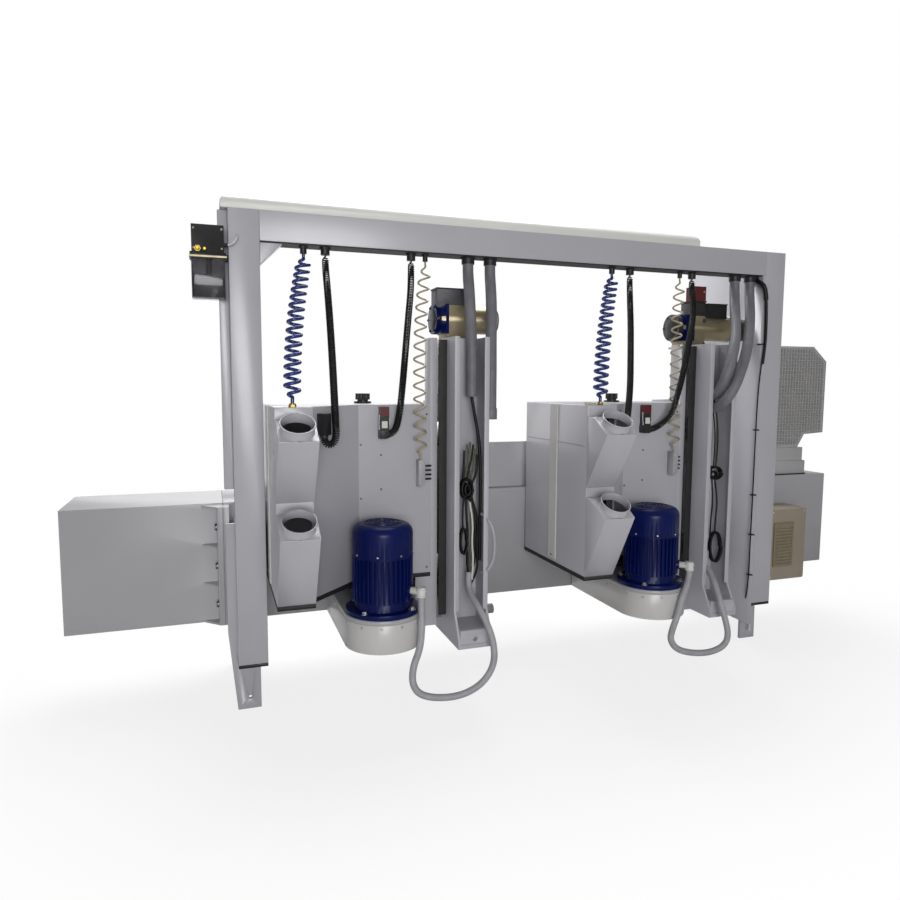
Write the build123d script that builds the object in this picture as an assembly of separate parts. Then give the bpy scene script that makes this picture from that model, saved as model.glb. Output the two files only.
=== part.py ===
from build123d import *
import os
from math import acos, cos, pi, radians, sin, sqrt, tan

# Tenoning machine with two vertical spindle units, millimetres, +Z up.
# The origin is on the floor, under the middle of the bed length and of the overall depth.
# The rear (the side with the motors and hoses) is at -Y, the operator side at +Y.

# bed
BED_LENGTH = 4760.0
BED_REAR = 90.0
BED_DEPTH = 440.0
BED_BOTTOM = 420.0
BED_TOP = 1040.0
BED_WALL = 14.0
FLANGE_T = 30.0
FLANGE_REACH = 80.0
FLANGE_DROP = 10.0
RIB_T = 12.0
RIB_COUNT = 4

# spindle units: X of the motor and spindle plane of each unit
LEFT_UNIT_X = -924.0
UNIT_SPACING = 1495.0

# heads
SHEET = 4.0
HEAD_GAP = 15.0
HEAD_Z = 560.0
HEAD_PLATE_T = 20.0
COVER_HEIGHT = 135.0
COVER_SHEET = 3.0
CENTRE_DISTANCE = 430.0
SPINDLE_INSET = 105.0
HOOD_BOTTOM = 690.0
HOOD_TOP = 1550.0
HOOD_LEFT = -502.0
SPOUT_WIDTH = 165.0
SPOUT_FACE_Y = -620.0
SPOUT_STEP = 70.0
SEAL_HEIGHT = 20.0
CONNECTOR_D = 40.0
CONNECTOR_DROP = 125.0
SOCKET_D = 62.0
SOCKET_H = 40.0
PLUG_W = 50.0
PLUG_H = 96.0
LUBE_DROP = 410.0
LUBE_H = 135.0
LUBE_D = 55.0
LUBE_OFFSET = 76.0
LUBE_TUBES = 4
AIR_FITTING_R = 14.0
AIR_FITTING_H = 16.0
AIR_INSET = 80.0
AIR_OFFSET = 20.0
ELBOW_DROP = 25.0
KNOB_R = 45.0
KNOB_HUB_R = 28.0
KNOB_H = 50.0
KNOB_BASE = 9.0
KNOB_LOBE_R = 12.0
KNOB_LOBES = 6
SHANK_R = 8.0
SHANK_REACH = 22.0
SLIDE_LEFT = 290.0
SLIDE_T = 35.0
SLIDE_BOTTOM = 410.0
SLIDE_TOP = 1880.0
SLIDE_UPPER_D = 100.0
APRON_W = 80.0
HEAD_APRON_T = 12.0

# dust spouts
COLLAR_R = 70.0
COLLAR_LENGTH = 40.0
COLLAR_SEAT = 3.0
COLLAR_TILT = 58.0
SPOUT_REACH = 200.0
LOWER_MOUTH_Z = 1089.0
UPPER_MOUTH_Z = 1490.0
SPOUT_GAP = 12.0

# motor
MOTOR_R = 144.0
MOTOR_CORE_R = 130.0
MOTOR_HEIGHT = 420.0
MOTOR_FLANGE_R = 175.0
MOTOR_FLANGE_T = 22.0
FAN_COVER_H = 150.0
FIN_COUNT = 36
FIN_T = 5.0
MOTOR_GAP = 26.0
MOTOR_SHAFT_R = 21.0
PORT_ANGLE = -42.0
PORT_BOSS = 8.0

# belt drive
PULLEY_RATIO = 2.0
SPINDLE_PULLEY_R = 65.0
PULLEY_WIDTH = 66.0
PULLEY_LIFT = 43.0
BELT_WIDTH = 60.0
BELT_T = 6.0

# spindle and cutters
HOUSING_R = 80.0
HOUSING_FLANGE_R = 100.0
HOUSING_TOP = 1120.0
SPINDLE_R = 40.0
ARBOR_R = 25.0
CUTTER_R = 175.0
CUTTER_BODY_R = 158.0
CUTTER_BOTTOM = 1150.0
CUTTER_T = 40.0
CUTTER_PITCH = 58.0
CUTTER_COUNT = 5
KNIVES = 4
NUT_HEIGHT = 30.0
WINDOW_HALF = 190.0
WINDOW_MARGIN = 20.0

# clearances
RUN_FIT = 0.05
SLIDE_FIT = 0.3

# columns
GUIDE_GAP = 42.0
COLUMN_WIDTH = 180.0
COLUMN_PLATE = 12.0
COLUMN_REAR = -440.0
COLUMN_BASE = 350.0
COLUMN_TOP = 1880.0
COLUMN_STEP = 10.0
UPPER_COLUMN_D = 125.0
FOOT_REACH = 70.0
FOOT_FLARE_Z = 520.0
FOOT_EDGE = 40.0
FOOT_SOLE = 20.0
FOOT_BLOCK = 90.0
FOOT_HOLE_R = 12.0
FOOT_HOLE_DEPTH = 40.0
FOOT_HOLE_Z = 45.0
WEB_Y = -290.0
LIP = 25.0
LIP_T = 6.0
RAIL_W = 28.0
RAIL_H = 26.0
RAIL_REAR_Y = -230.0
RAIL_FRONT_Y = 20.0
RAIL_INSET = 20.0
BLOCK_W = 90.0
BLOCK_L = 120.0
BLOCK_LOW_Z = 720.0
BLOCK_HIGH_Z = 1400.0
BLOCK_STEP = 7.0
WAY_COVER_T = 6.0
WAY_COVER_GAP = 2.0

# height drive
LIFT_DOWN = 60.0
LIFT_UP = 220.0
SCREW_X = 490.0
SCREW_Y = -80.0
SCREW_R = 16.0
SCREW_JOURNAL_R = 12.0
SCREW_BEARING_Z = 460.0
NUT_R = 30.0
NUT_Z = 1050.0
ARM_W = 50.0
ARM_H = 60.0
SLOT_MARGIN = 20.0
GEAR_HEIGHT = 180.0
GEAR_HALF = 70.0
GEAR_SEAT_RIM = 10.0
GEAR_AXIS = 110.0
GEAR_END = 51.0
GEAR_BARREL = {"left": 150.0, "right": 223.0}
BARREL_R = 72.0
BARREL_RING = 12.0
FAN_END = {"left": 8.0, "right": 117.0}
TERMINAL_START = {"left": -45.0, "right": 50.0}
FAN_END_R = 66.0
TERMINAL_RISE = 85.0
TERMINAL_SINK = 20.0
JOURNAL_REACH = 22.0
JOURNAL_ROOM = 2.0
BEARING_T = 20.0

# portal
POST_GAP = 13.0
POST_W = 140.0
POST_D = 120.0
POST_REAR = -190.0
POST_BOTTOM = 276.0
PORTAL_SPAN = 3248.0
HEADROOM = 169.0
BEAM_H = 140.0
TUBE_WALL = 8.0
GUSSET = 110.0
CAP_T = 16.0
COVER_WIDTH = 100.0
COVER_RISE = 62.0
COVER_LENGTH = 2658.0
COVER_OVERHANG = 33.0
JOINT_GAP = 52.0
LEFT_TRUNK = 45.0
LEFT_TRUNK_INSET = 55.0
LEFT_TRUNK_RISE = 100.0
RIGHT_TRUNK = 22.0
RIGHT_TRUNK_D = 250.0
RIGHT_TRUNK_DROP = 134.0
SIDE_SHIELD_D = 695.0
SIDE_SHIELD_H = 430.0

# lubrication pump
PUMP_W = 156.0
PUMP_D = 100.0
PUMP_GAP = 11.0
PUMP_BACK = 50.0
PUMP_DROP = 103.0
PUMP_FLANGE = 27.0
PUMP_HEAD = 122.0
PUMP_STEP = 8.0
PUMP_PORT_R = 9.0
PUMP_PORT = 8.0
PUMP_ARM = 36.0
BOWL_H = 177.0
BOWL_INSET = 5.0
BOWL_WALL = 4.0
BOWL_ROUND = 14.0

# cabinet and end guard
CABINET_GAP = 84.0
CABINET_W = 290.0
CABINET_D = 180.0
CABINET_H = 470.0
CABINET_DROP = 45.0
CABINET_ROUND = 12.0
GRILLE_W = 160.0
GRILLE_H = 290.0
GRILLE_T = 10.0
GRILLE_INSET = 24.0
GRILLE_RISE = 90.0
GRILLE_RIM = 12.0
SLAT_COUNT = 12
GUARD_INSET = 159.0
GUARD_W = 350.0
GUARD_STEP = 95.0
GUARD_UPPER = 91.0
GUARD_MARGIN = 20.0
GUARD_STEP_IN = 10.0
GUARD_LEDGE = 28.0
GUARD_RIGHT_LEDGE = 16.0
MESH_LEFT_INSET = 54.0
MESH_OVERHANG = 150.0
MESH_H = 690.0
MESH_CORNER = 100.0
MESH_CORNER_W = 116.0
MESH_FOOT_IN = 71.0
MESH_SHOULDER = 90.0
MESH_RIM = 16.0
MESH_PITCH = 24.0
MESH_WIRE = 4.0
MESH_RELIEF = 3.0
MESH_T = 4.0
STAY_W = 30.0
STAY_INSET = 80.0
STAY_DROP = 20.0

# legs
LEG_T = 20.0
LEG_OUTSET = 44.0
LEG_SHOULDER_Z = 440.0
LEG_SHOULDER = 138.0
LEG_TOP = 960.0
BRACKET_BOTTOM = 480.0
ANCHOR_R = 9.0
ANCHOR_Z = 60.0

# work carriage
BED_RAIL_W = 34.0
BED_RAIL_H = 30.0
BED_RAIL_REAR_Y = 195.0
BED_RAIL_FRONT_Y = 440.0
BED_RAIL_START = 111.0
BED_RAIL_STOP = 31.0
CARRIAGE_X = 20.0
CARRIAGE_HALF = 500.0
CARRIAGE_BLOCK_L = 120.0
CARRIAGE_PLATE_T = 25.0
CARRIAGE_RISE = 15.0
TABLE_Z = 1200.0
TABLE_T = 25.0
APRON_Y = 310.0
APRON_T = 12.0
APRON_TOP = 1292.0
TABLE_FRONT = 820.0
TABLE_ROUND = 10.0
SUPPORT_T = 16.0
GRIP_R = 13.0
GRIP_POST_R = 9.0
GRIP_LENGTH = 150.0
GRIP_RISE = 75.0
GRIP_INSET = 80.0
CARRIAGE_BLOCK_W = 70.0
CARRIAGE_BLOCK_INSET = 90.0
BLOCK_CLEAR = 8.0
CLAMP_X = 400.0
CLAMP_Y = 585.0
CLAMP_TOP = 1500.0
CLAMP_BORE_R = 31.0
CLAMP_ROD_R = 12.0
CLAMP_OPENING = 60.0
CLAMP_PAD_T = 25.0
CLAMP_PAD_R = 34.0
CLAMP_BARREL = 110.0
CLAMP_CAP = 30.0
CLAMP_POST = 80.0
CLAMP_ARM = 60.0

# hoses and cables
PLUG_DEPTH = 40.0
PLUG_Z = 1422.0
END_GAP = 0.5
DROP = 50.0
GLAND_H = 40.0
SIDE_PLUG_R = 24.0
SIDE_PLUG_L = 36.0
SIDE_PLUG_Z = 160.0
JUNCTION_W = 60.0
JUNCTION_D = 48.0
JUNCTION_H = 70.0
GLAND_Y = -140.0
CONDUIT_R = 29.0
MOTOR_CONDUIT_R = 17.0
COIL_CORD_R = 18.0
WIRE_R = 8.0
AIR_TUBE_R = 8.0
AIR_COIL_R = 31.0
AIR_TURNS = 17
LUBE_TUBE_R = 5.0
LUBE_COIL_R = 28.0
LUBE_TURNS = 15

# places that follow from the sizes above
PORTAL_TOP = COLUMN_TOP + GEAR_HEIGHT + TERMINAL_RISE + HEADROOM + BEAM_H
BED_LEFT = -BED_LENGTH / 2
BED_RIGHT = BED_LENGTH / 2
BED_FRONT = BED_REAR + BED_DEPTH
HEAD_FRONT = BED_REAR - HEAD_GAP
SPINDLE_Y = HEAD_FRONT - SPINDLE_INSET
MOTOR_Y = SPINDLE_Y - CENTRE_DISTANCE
HOOD_WALL_Y = MOTOR_Y + MOTOR_R + MOTOR_GAP
SPOUT_X = HOOD_LEFT + SPOUT_WIDTH / 2
SPOUT_REAR = SPOUT_FACE_Y - SPOUT_REACH
SPOUT_RIGHT = HOOD_LEFT + SPOUT_WIDTH
OBLIQUE_Y = SPOUT_FACE_Y + SPOUT_STEP
OBLIQUE_X = SPOUT_RIGHT + HOOD_WALL_Y - OBLIQUE_Y
HEAD_PLATE_TOP = HEAD_Z + HEAD_PLATE_T
HEAD_HALF = MOTOR_FLANGE_R + 8
COVER_BOTTOM = HEAD_Z - COVER_HEIGHT
MOTOR_PULLEY_R = SPINDLE_PULLEY_R * PULLEY_RATIO
PULLEY_Z = COVER_BOTTOM + PULLEY_LIFT
MOTOR_TOP = HEAD_PLATE_TOP + MOTOR_HEIGHT
CUTTER_TOP = CUTTER_BOTTOM + CUTTER_PITCH * (CUTTER_COUNT - 1) + CUTTER_T
SLIDE_RIGHT = SLIDE_LEFT + SLIDE_T
SLIDE_FRONT = HEAD_FRONT - 5
COLUMN_LEFT = SLIDE_RIGHT + GUIDE_GAP
COLUMN_RIGHT = COLUMN_LEFT + COLUMN_WIDTH
RAIL_X = COLUMN_LEFT - RAIL_H
UPPER_COLUMN_Z = HOOD_TOP + COLUMN_STEP
UPPER_COLUMN_FRONT = WEB_Y + UPPER_COLUMN_D
GEAR_SEAT_LEFT = SCREW_X - GEAR_HALF - GEAR_SEAT_RIM
GEAR_SEAT_FRONT = SCREW_Y + GEAR_HALF + GEAR_SEAT_RIM
FOOT_REAR = COLUMN_REAR - FOOT_REACH
PORTAL_LEFT = LEFT_UNIT_X + HOOD_LEFT - POST_GAP - POST_W
PORTAL_RIGHT = PORTAL_LEFT + PORTAL_SPAN
POST_FRONT = POST_REAR + POST_D
BEAM_BOTTOM = PORTAL_TOP - BEAM_H
JOINT_X = PORTAL_LEFT - JOINT_GAP
GLAND_Z = BEAM_BOTTOM - GLAND_H
GUARD_RIGHT = BED_RIGHT - GUARD_INSET
GUARD_LEFT = GUARD_RIGHT - GUARD_W
BED_RAIL_X0 = JOINT_X + BED_RAIL_START
BED_RAIL_X1 = GUARD_LEFT - BED_RAIL_STOP
UNITS = {"left": LEFT_UNIT_X, "right": LEFT_UNIT_X + UNIT_SPACING}


def block(x0, x1, y0, y1, z0, z1):
    """Upright box between the given faces."""
    return Pos((x0 + x1) / 2, (y0 + y1) / 2, (z0 + z1) / 2) * Box(x1 - x0, y1 - y0, z1 - z0)


def rod(radius, x, y, z0, z1):
    """Upright round bar."""
    return Pos(x, y, (z0 + z1) / 2) * Cylinder(radius, z1 - z0)


def rod_x(radius, x0, x1, y, z):
    """Round bar along X."""
    return Pos((x0 + x1) / 2, y, z) * Rot(0, 90, 0) * Cylinder(radius, x1 - x0)


def rod_y(radius, x, y0, y1, z):
    """Round bar along Y."""
    return Pos(x, (y0 + y1) / 2, z) * Rot(90, 0, 0) * Cylinder(radius, y1 - y0)


def outline(points):
    """Flat face inside a closed line of points."""
    return make_face(Polyline(*points, close=True))


def plan_plate(points, z0, z1):
    """Plate with an XY outline."""
    return extrude(Pos(0, 0, z0) * outline(points), z1 - z0)


def side_plate(points, x0, x1):
    """Plate with a YZ outline, thick along X."""
    return extrude(Plane.YZ.offset(x0) * outline(points), x1 - x0)


def front_plate(points, y0, y1):
    """Plate with an XZ outline, thick along Y."""
    return extrude(Plane.XZ.offset(-y1) * outline(points), y1 - y0)


def bar(radius, start, end):
    """Round bar between two points in any direction."""
    way = Vector(*end) - Vector(*start)
    return extrude(Plane(start, z_dir=way) * Circle(radius), way.length)


def save(name, *pieces):
    """Write the solids of one named piece, or of one group of like pieces."""
    solids = [solid for piece in pieces for solid in piece.solids()]
    shape = solids[0] if len(solids) == 1 else Compound(children=solids)
    export_step(shape, f"parts/{name}.step")


def cord(name, points, radius):
    """Smooth round tube through a chain of points, with the bends as wide as the runs allow."""
    spots = [Vector(*point) for point in points]
    radii = []
    for before, here, after in zip(spots, spots[1:], spots[2:]):
        run = min((here - before).length, (after - here).length)
        turn = acos((here - before).normalized().dot((after - here).normalized()))
        radii.append(0.45 * run / tan(turn / 2))
    path = FilletPolyline(*spots, radius=radii)
    tube = sweep(Plane(path @ 0, z_dir=path % 0) * Circle(radius), path=path)
    full = pi * radius ** 2 * path.length
    print(f"{name}: length {path.length:.0f}, least bend {min(radii):.0f}, volume {tube.volume / full:.3f}")
    return tube


def bezier(points, t):
    """Point on the cubic curve with four control points."""
    a, b, c, d = points
    s = 1 - t
    return a * s ** 3 + b * (3 * s * s * t) + c * (3 * s * t * t) + d * t ** 3


def even_steps(axis):
    """Curve parameters at equal steps of length along the curve."""
    count = 400
    spots = [bezier(axis, i / count) for i in range(count + 1)]
    walked = [0.0]
    for a, b in zip(spots, spots[1:]):
        walked.append(walked[-1] + (b - a).length)
    steps = []
    j = 0
    for i in range(count + 1):
        goal = walked[-1] * i / count
        while j < count - 1 and walked[j + 1] < goal:
            j += 1
        steps.append((j + (goal - walked[j]) / (walked[j + 1] - walked[j])) / count)
    return steps


def coil_point(axis, steps, turns, coil_radius, share):
    """Point of a spiral hose whose turns stay level; the radius swells and sinks over the end turns."""
    place = share * (len(steps) - 1)
    k = min(int(place), len(steps) - 2)
    t = steps[k] + (steps[k + 1] - steps[k]) * (place - k)
    ramp = min(1.0, share * turns, (1 - share) * turns)
    reach = coil_radius * ramp * ramp * (3 - 2 * ramp)
    angle = 2 * pi * turns * share
    return bezier(axis, t) + Vector(reach * cos(angle), -reach * sin(angle), 0)


def biarc(p0, t0, p1, t1):
    """Two arcs that join two points with the given tangents."""
    v = p1 - p0
    t = t0 + t1
    a = t.dot(t) - 4
    b = -2 * v.dot(t)
    c = v.dot(v)
    root = sqrt(b * b - 4 * a * c)
    d = max((-b + root) / (2 * a), (-b - root) / (2 * a))
    q0 = p0 + t0 * d
    q1 = p1 - t1 * d
    middle = (q0 + q1) * 0.5
    return [TangentArc(p0, middle, tangent=t0), TangentArc(middle, p1, tangent=q1 - q0)]


def spiral(name, axis, turns, coil_radius, tube_radius):
    """Spiral hose as one unbroken tube round a curved axis, with straight tails."""
    even = even_steps(axis)
    arcs = turns * 4
    spots = []
    tangents = []
    for i in range(arcs + 1):
        share = i / arcs
        spots.append(coil_point(axis, even, turns, coil_radius, share))
        ahead = coil_point(axis, even, turns, coil_radius, min(share + 1e-4, 1))
        behind = coil_point(axis, even, turns, coil_radius, max(share - 1e-4, 0))
        tangents.append((ahead - behind).normalized())
    tangents[0] = (axis[1] - axis[0]).normalized()
    tangents[-1] = (axis[3] - axis[2]).normalized()
    tail = 2 * tube_radius
    edges = [Line(spots[0] - tangents[0] * tail, spots[0])]
    for i in range(arcs):
        edges += biarc(spots[i], tangents[i], spots[i + 1], tangents[i + 1])
    edges.append(Line(spots[-1], spots[-1] + tangents[-1] * tail))
    path = Wire(edges)
    samples = 24 * turns
    fine = [coil_point(axis, even, turns, coil_radius, i / samples) for i in range(samples + 1)]
    apart = [(fine[j] - fine[i]).length for i in range(samples) for j in range(i + 12, samples + 1)]
    gap = min(apart) - 2 * tube_radius
    tube = sweep(Plane(path @ 0, z_dir=path % 0) * Circle(tube_radius), path=path)
    full = pi * tube_radius ** 2 * path.length
    print(f"{name}: length {path.length:.0f}, least gap {gap:.1f}, volume {tube.volume / full:.3f}")
    return tube


def hex_bolt(size, height, x, y, z, turn):
    """Hexagon head seated on a face; turn lays its axis along the face's outward direction."""
    return Pos(x, y, z) * turn * extrude(RegularPolygon(size / 2, 6, major_radius=False), height)


def make_bed():
    """Box bed with its end flange."""
    body = block(JOINT_X, BED_RIGHT, BED_REAR, BED_FRONT, BED_BOTTOM, BED_TOP)
    inside = block(JOINT_X, BED_RIGHT - BED_WALL, BED_REAR + BED_WALL, BED_FRONT - BED_WALL,
                   BED_BOTTOM + BED_WALL, BED_TOP - BED_WALL)
    return body - inside + joint_flanges(JOINT_X, JOINT_X + FLANGE_T)


def joint_flanges(x0, x1):
    """Upright flange strips on the rear and front of the bed at the joint."""
    low = BED_BOTTOM
    high = BED_TOP - FLANGE_DROP
    rear = block(x0, x1, BED_REAR - FLANGE_REACH, BED_REAR, low, high)
    front = block(x0, x1, BED_FRONT, BED_FRONT + FLANGE_REACH, low, high)
    return rear + front


def rib_heights():
    """Heights of the ribs that brace the joint flange."""
    low = BED_BOTTOM
    high = BED_TOP - FLANGE_DROP - RIB_T
    return [low + (high - low) * i / (RIB_COUNT - 1) for i in range(RIB_COUNT)]


def make_extension():
    """Left bed extension with flange and ribs."""
    body = block(BED_LEFT, JOINT_X, BED_REAR, BED_FRONT, BED_BOTTOM, BED_TOP)
    inside = block(BED_LEFT + BED_WALL, JOINT_X, BED_REAR + BED_WALL, BED_FRONT - BED_WALL,
                   BED_BOTTOM + BED_WALL, BED_TOP - BED_WALL)
    shape = body - inside + joint_flanges(JOINT_X - FLANGE_T, JOINT_X)
    root = JOINT_X - FLANGE_T
    reach = FLANGE_REACH - 8
    for z in rib_heights():
        for edge, out in ((BED_REAR, -reach), (BED_FRONT, reach)):
            rib = plan_plate([(root, edge), (root, edge + out), (root - reach, edge)], z, z + RIB_T)
            shape += rib
    return shape


def flange_bolts():
    """Bolts of the bed joint, between the ribs."""
    heights = rib_heights()
    bolts = []
    for low, high in zip(heights, heights[1:]):
        z = (low + RIB_T + high) / 2
        for y in (BED_REAR - FLANGE_REACH * 0.6, BED_FRONT + FLANGE_REACH * 0.6):
            bolts.append(hex_bolt(30, 12, JOINT_X - FLANGE_T, y, z, Rot(0, -90, 0)))
    return bolts


def make_legs():
    """Rear leg plates with the brackets that tie the posts to the bed, and plain front legs."""
    legs = []
    bolts = []
    spans = ((PORTAL_LEFT - LEG_OUTSET, PORTAL_LEFT, 1), (PORTAL_RIGHT, PORTAL_RIGHT, -1))
    for outer, post, way in spans:
        foot = post - 4 * way
        inner = post + 110 * way
        shoulder = post + LEG_SHOULDER * way
        shape = [(foot, 0), (inner, 0), (inner, LEG_SHOULDER_Z), (shoulder, LEG_SHOULDER_Z),
                 (shoulder, LEG_TOP), (outer, LEG_TOP), (outer, LEG_SHOULDER_Z - 35)]
        leg = front_plate(shape, POST_FRONT, POST_FRONT + LEG_T)
        sides = sorted((post, post + POST_W * way))
        leg += block(*sides, POST_FRONT + LEG_T, BED_REAR, BRACKET_BOTTOM, LEG_TOP)
        leg -= rod_y(ANCHOR_R, post + 56 * way, POST_FRONT, POST_FRONT + LEG_T, ANCHOR_Z)
        legs.append(leg)
        sides = sorted((foot, inner))
        front = block(*sides, BED_FRONT, BED_FRONT + LEG_T, 0, LEG_TOP - BED_BOTTOM / 2)
        front -= rod_y(ANCHOR_R, post + 56 * way, BED_FRONT, BED_FRONT + LEG_T, ANCHOR_Z)
        legs.append(front)
        for z in (BED_BOTTOM + 60, BED_BOTTOM + 240):
            bolts.append(hex_bolt(30, 12, post + 56 * way, BED_FRONT + LEG_T, z, Rot(-90, 0, 0)))
    return legs, bolts


def make_posts():
    """Two square-tube posts, closed at the top."""
    posts = []
    for x in (PORTAL_LEFT, PORTAL_RIGHT - POST_W):
        tube = block(x, x + POST_W, POST_REAR, POST_FRONT, POST_BOTTOM, PORTAL_TOP)
        tube -= block(x + TUBE_WALL, x + POST_W - TUBE_WALL, POST_REAR + TUBE_WALL, POST_FRONT - TUBE_WALL,
                      POST_BOTTOM, PORTAL_TOP - TUBE_WALL)
        posts.append(tube)
    return posts


def make_beam():
    """Beam between the posts, with the corner gusset at the left."""
    left = PORTAL_LEFT + POST_W
    right = PORTAL_RIGHT - POST_W
    beam = block(left, right, POST_REAR, POST_FRONT, BEAM_BOTTOM, PORTAL_TOP)
    beam -= block(left, right, POST_REAR + TUBE_WALL, POST_FRONT - TUBE_WALL,
                  BEAM_BOTTOM + TUBE_WALL, PORTAL_TOP - TUBE_WALL)
    corner = [(left, BEAM_BOTTOM), (left + GUSSET, BEAM_BOTTOM), (left, BEAM_BOTTOM - GUSSET)]
    return beam + front_plate(corner, POST_REAR + 20, POST_FRONT - 20)


def make_cable_covers():
    """Rounded cover on the beam and trunkings on the posts; the right one widens to a side shield."""
    middle = (POST_REAR + POST_FRONT) / 2
    x0 = PORTAL_LEFT - COVER_OVERHANG
    top = block(x0, x0 + COVER_LENGTH, middle - COVER_WIDTH / 2, middle + COVER_WIDTH / 2,
                PORTAL_TOP, PORTAL_TOP + COVER_RISE)
    top = fillet(top.edges().group_by(Axis.Z)[-1], COVER_RISE * 0.6)
    trunk_left = block(PORTAL_LEFT - LEFT_TRUNK, PORTAL_LEFT, POST_REAR + LEFT_TRUNK_INSET, POST_FRONT - 10,
                       BED_TOP + LEFT_TRUNK_RISE, PORTAL_TOP)
    inner = PORTAL_RIGHT - POST_W
    trunk_right = block(inner - RIGHT_TRUNK, inner, POST_REAR, POST_REAR + RIGHT_TRUNK_D,
                        POST_BOTTOM - RIGHT_TRUNK_DROP, BEAM_BOTTOM)
    shield_low = BEAM_BOTTOM - SIDE_SHIELD_H
    shield_front = POST_REAR + SIDE_SHIELD_D
    for rear, height in ((POST_REAR, BEAM_BOTTOM), (POST_FRONT + SLIDE_FIT, PORTAL_TOP)):
        trunk_right += block(inner - RIGHT_TRUNK, inner, rear, shield_front, shield_low, height)
    return top, trunk_left, trunk_right


def make_pump():
    """Lubrication pump head on its bracket, and the clear reservoir under it."""
    right = PORTAL_LEFT - PUMP_GAP
    left = right - PUMP_W
    y0 = POST_REAR - PUMP_BACK
    y1 = y0 + PUMP_D
    flange_z = BEAM_BOTTOM - PUMP_DROP
    head_z = flange_z + PUMP_FLANGE
    head_top = head_z + PUMP_HEAD
    pump = block(left, right, y0, y1, flange_z, head_z)
    pump += block(left + PUMP_STEP, right - PUMP_STEP, y0 + PUMP_STEP, y1 - PUMP_STEP, head_z, head_top)
    pump += rod_x(PUMP_PORT_R, right - PUMP_STEP, right + PUMP_PORT, y0 + 30, head_z + 40)
    arm_y = POST_REAR + 2
    pump += block(right, PORTAL_LEFT, arm_y, arm_y + PUMP_ARM, flange_z, head_z)
    inset = BOWL_INSET
    bowl = block(left + inset, right - inset, y0 + inset, y1 - inset, flange_z - BOWL_H, flange_z)
    bowl = fillet(bowl.edges().filter_by(Axis.Z), BOWL_ROUND)
    inset = BOWL_INSET + BOWL_WALL
    bowl -= block(left + inset, right - inset, y0 + inset, y1 - inset,
                  flange_z - BOWL_H + BOWL_WALL, flange_z)
    return pump, bowl


def make_cabinet():
    """Small cabinet on the rear face of the bed, with its air grille."""
    x0 = PORTAL_RIGHT + CABINET_GAP
    x1 = x0 + CABINET_W
    rear = BED_REAR - CABINET_D
    z0 = BED_BOTTOM - CABINET_DROP
    cabinet = block(x0, x1, rear, BED_REAR, z0, z0 + CABINET_H)
    cabinet = fillet(cabinet.edges().filter_by(Axis.Y), CABINET_ROUND)
    g0 = x0 + GRILLE_INSET
    g1 = g0 + GRILLE_W
    low = z0 + GRILLE_RISE
    grille = block(g0, g1, rear - GRILLE_T, rear, low, low + GRILLE_H)
    first = low + GRILLE_RIM * 1.5
    pitch = (GRILLE_H - GRILLE_RIM * 3) / SLAT_COUNT
    for i in range(SLAT_COUNT):
        z = first + pitch * i
        grille -= block(g0 + GRILLE_RIM, g1 - GRILLE_RIM, rear - GRILLE_T, rear - GRILLE_T * 0.3,
                        z, z + pitch * 0.55)
    return cabinet, grille


def make_end_guard():
    """Two-step box at the right end of the bed and the sheet guard on it, with a wire mesh on its rear."""
    x0 = GUARD_LEFT
    x1 = GUARD_RIGHT
    rear = BED_REAR + GUARD_MARGIN
    front = BED_FRONT - GUARD_MARGIN
    step_z = BED_TOP + GUARD_STEP
    low = step_z + GUARD_UPPER
    base = block(x0, x1, rear, front, BED_TOP, step_z)
    rear += GUARD_STEP_IN
    front -= GUARD_STEP_IN
    base += block(x0 + GUARD_LEDGE, x1 - GUARD_RIGHT_LEDGE, rear, front, step_z, low)
    high = low + MESH_H
    g0 = GUARD_LEFT + MESH_LEFT_INSET
    g1 = GUARD_RIGHT + MESH_OVERHANG
    edge = [(g0, low), (x1 - MESH_FOOT_IN, low), (x1 - GUARD_RIGHT_LEDGE, low + MESH_SHOULDER),
            (g1, low + MESH_CORNER), (g1, high - MESH_CORNER), (g1 - MESH_CORNER_W, high), (g0, high)]
    panel = front_plate(edge, rear, rear + MESH_T)
    sheet = outline(edge)
    window = offset(sheet, -MESH_RIM)
    middle = Pos((g0 + g1) / 2, (low + high) / 2)
    columns = int((g1 - g0) / MESH_PITCH)
    rows = int((high - low) / MESH_PITCH)
    wires = Sketch()
    wires += middle * GridLocations(MESH_PITCH, MESH_PITCH, columns, 1) * Rectangle(MESH_WIRE, high - low)
    wires += middle * GridLocations(MESH_PITCH, MESH_PITCH, 1, rows) * Rectangle(g1 - g0, MESH_WIRE)
    net = (sheet - window) + (window & wires)
    panel += extrude(Plane.XZ.offset(-rear) * net, MESH_RELIEF)
    for x in (g0, x1 - STAY_INSET - STAY_W):
        panel += block(x, x + STAY_W, rear + MESH_T, rear + MESH_T + STAY_W, low, high - STAY_DROP)
    return base, panel


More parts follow.
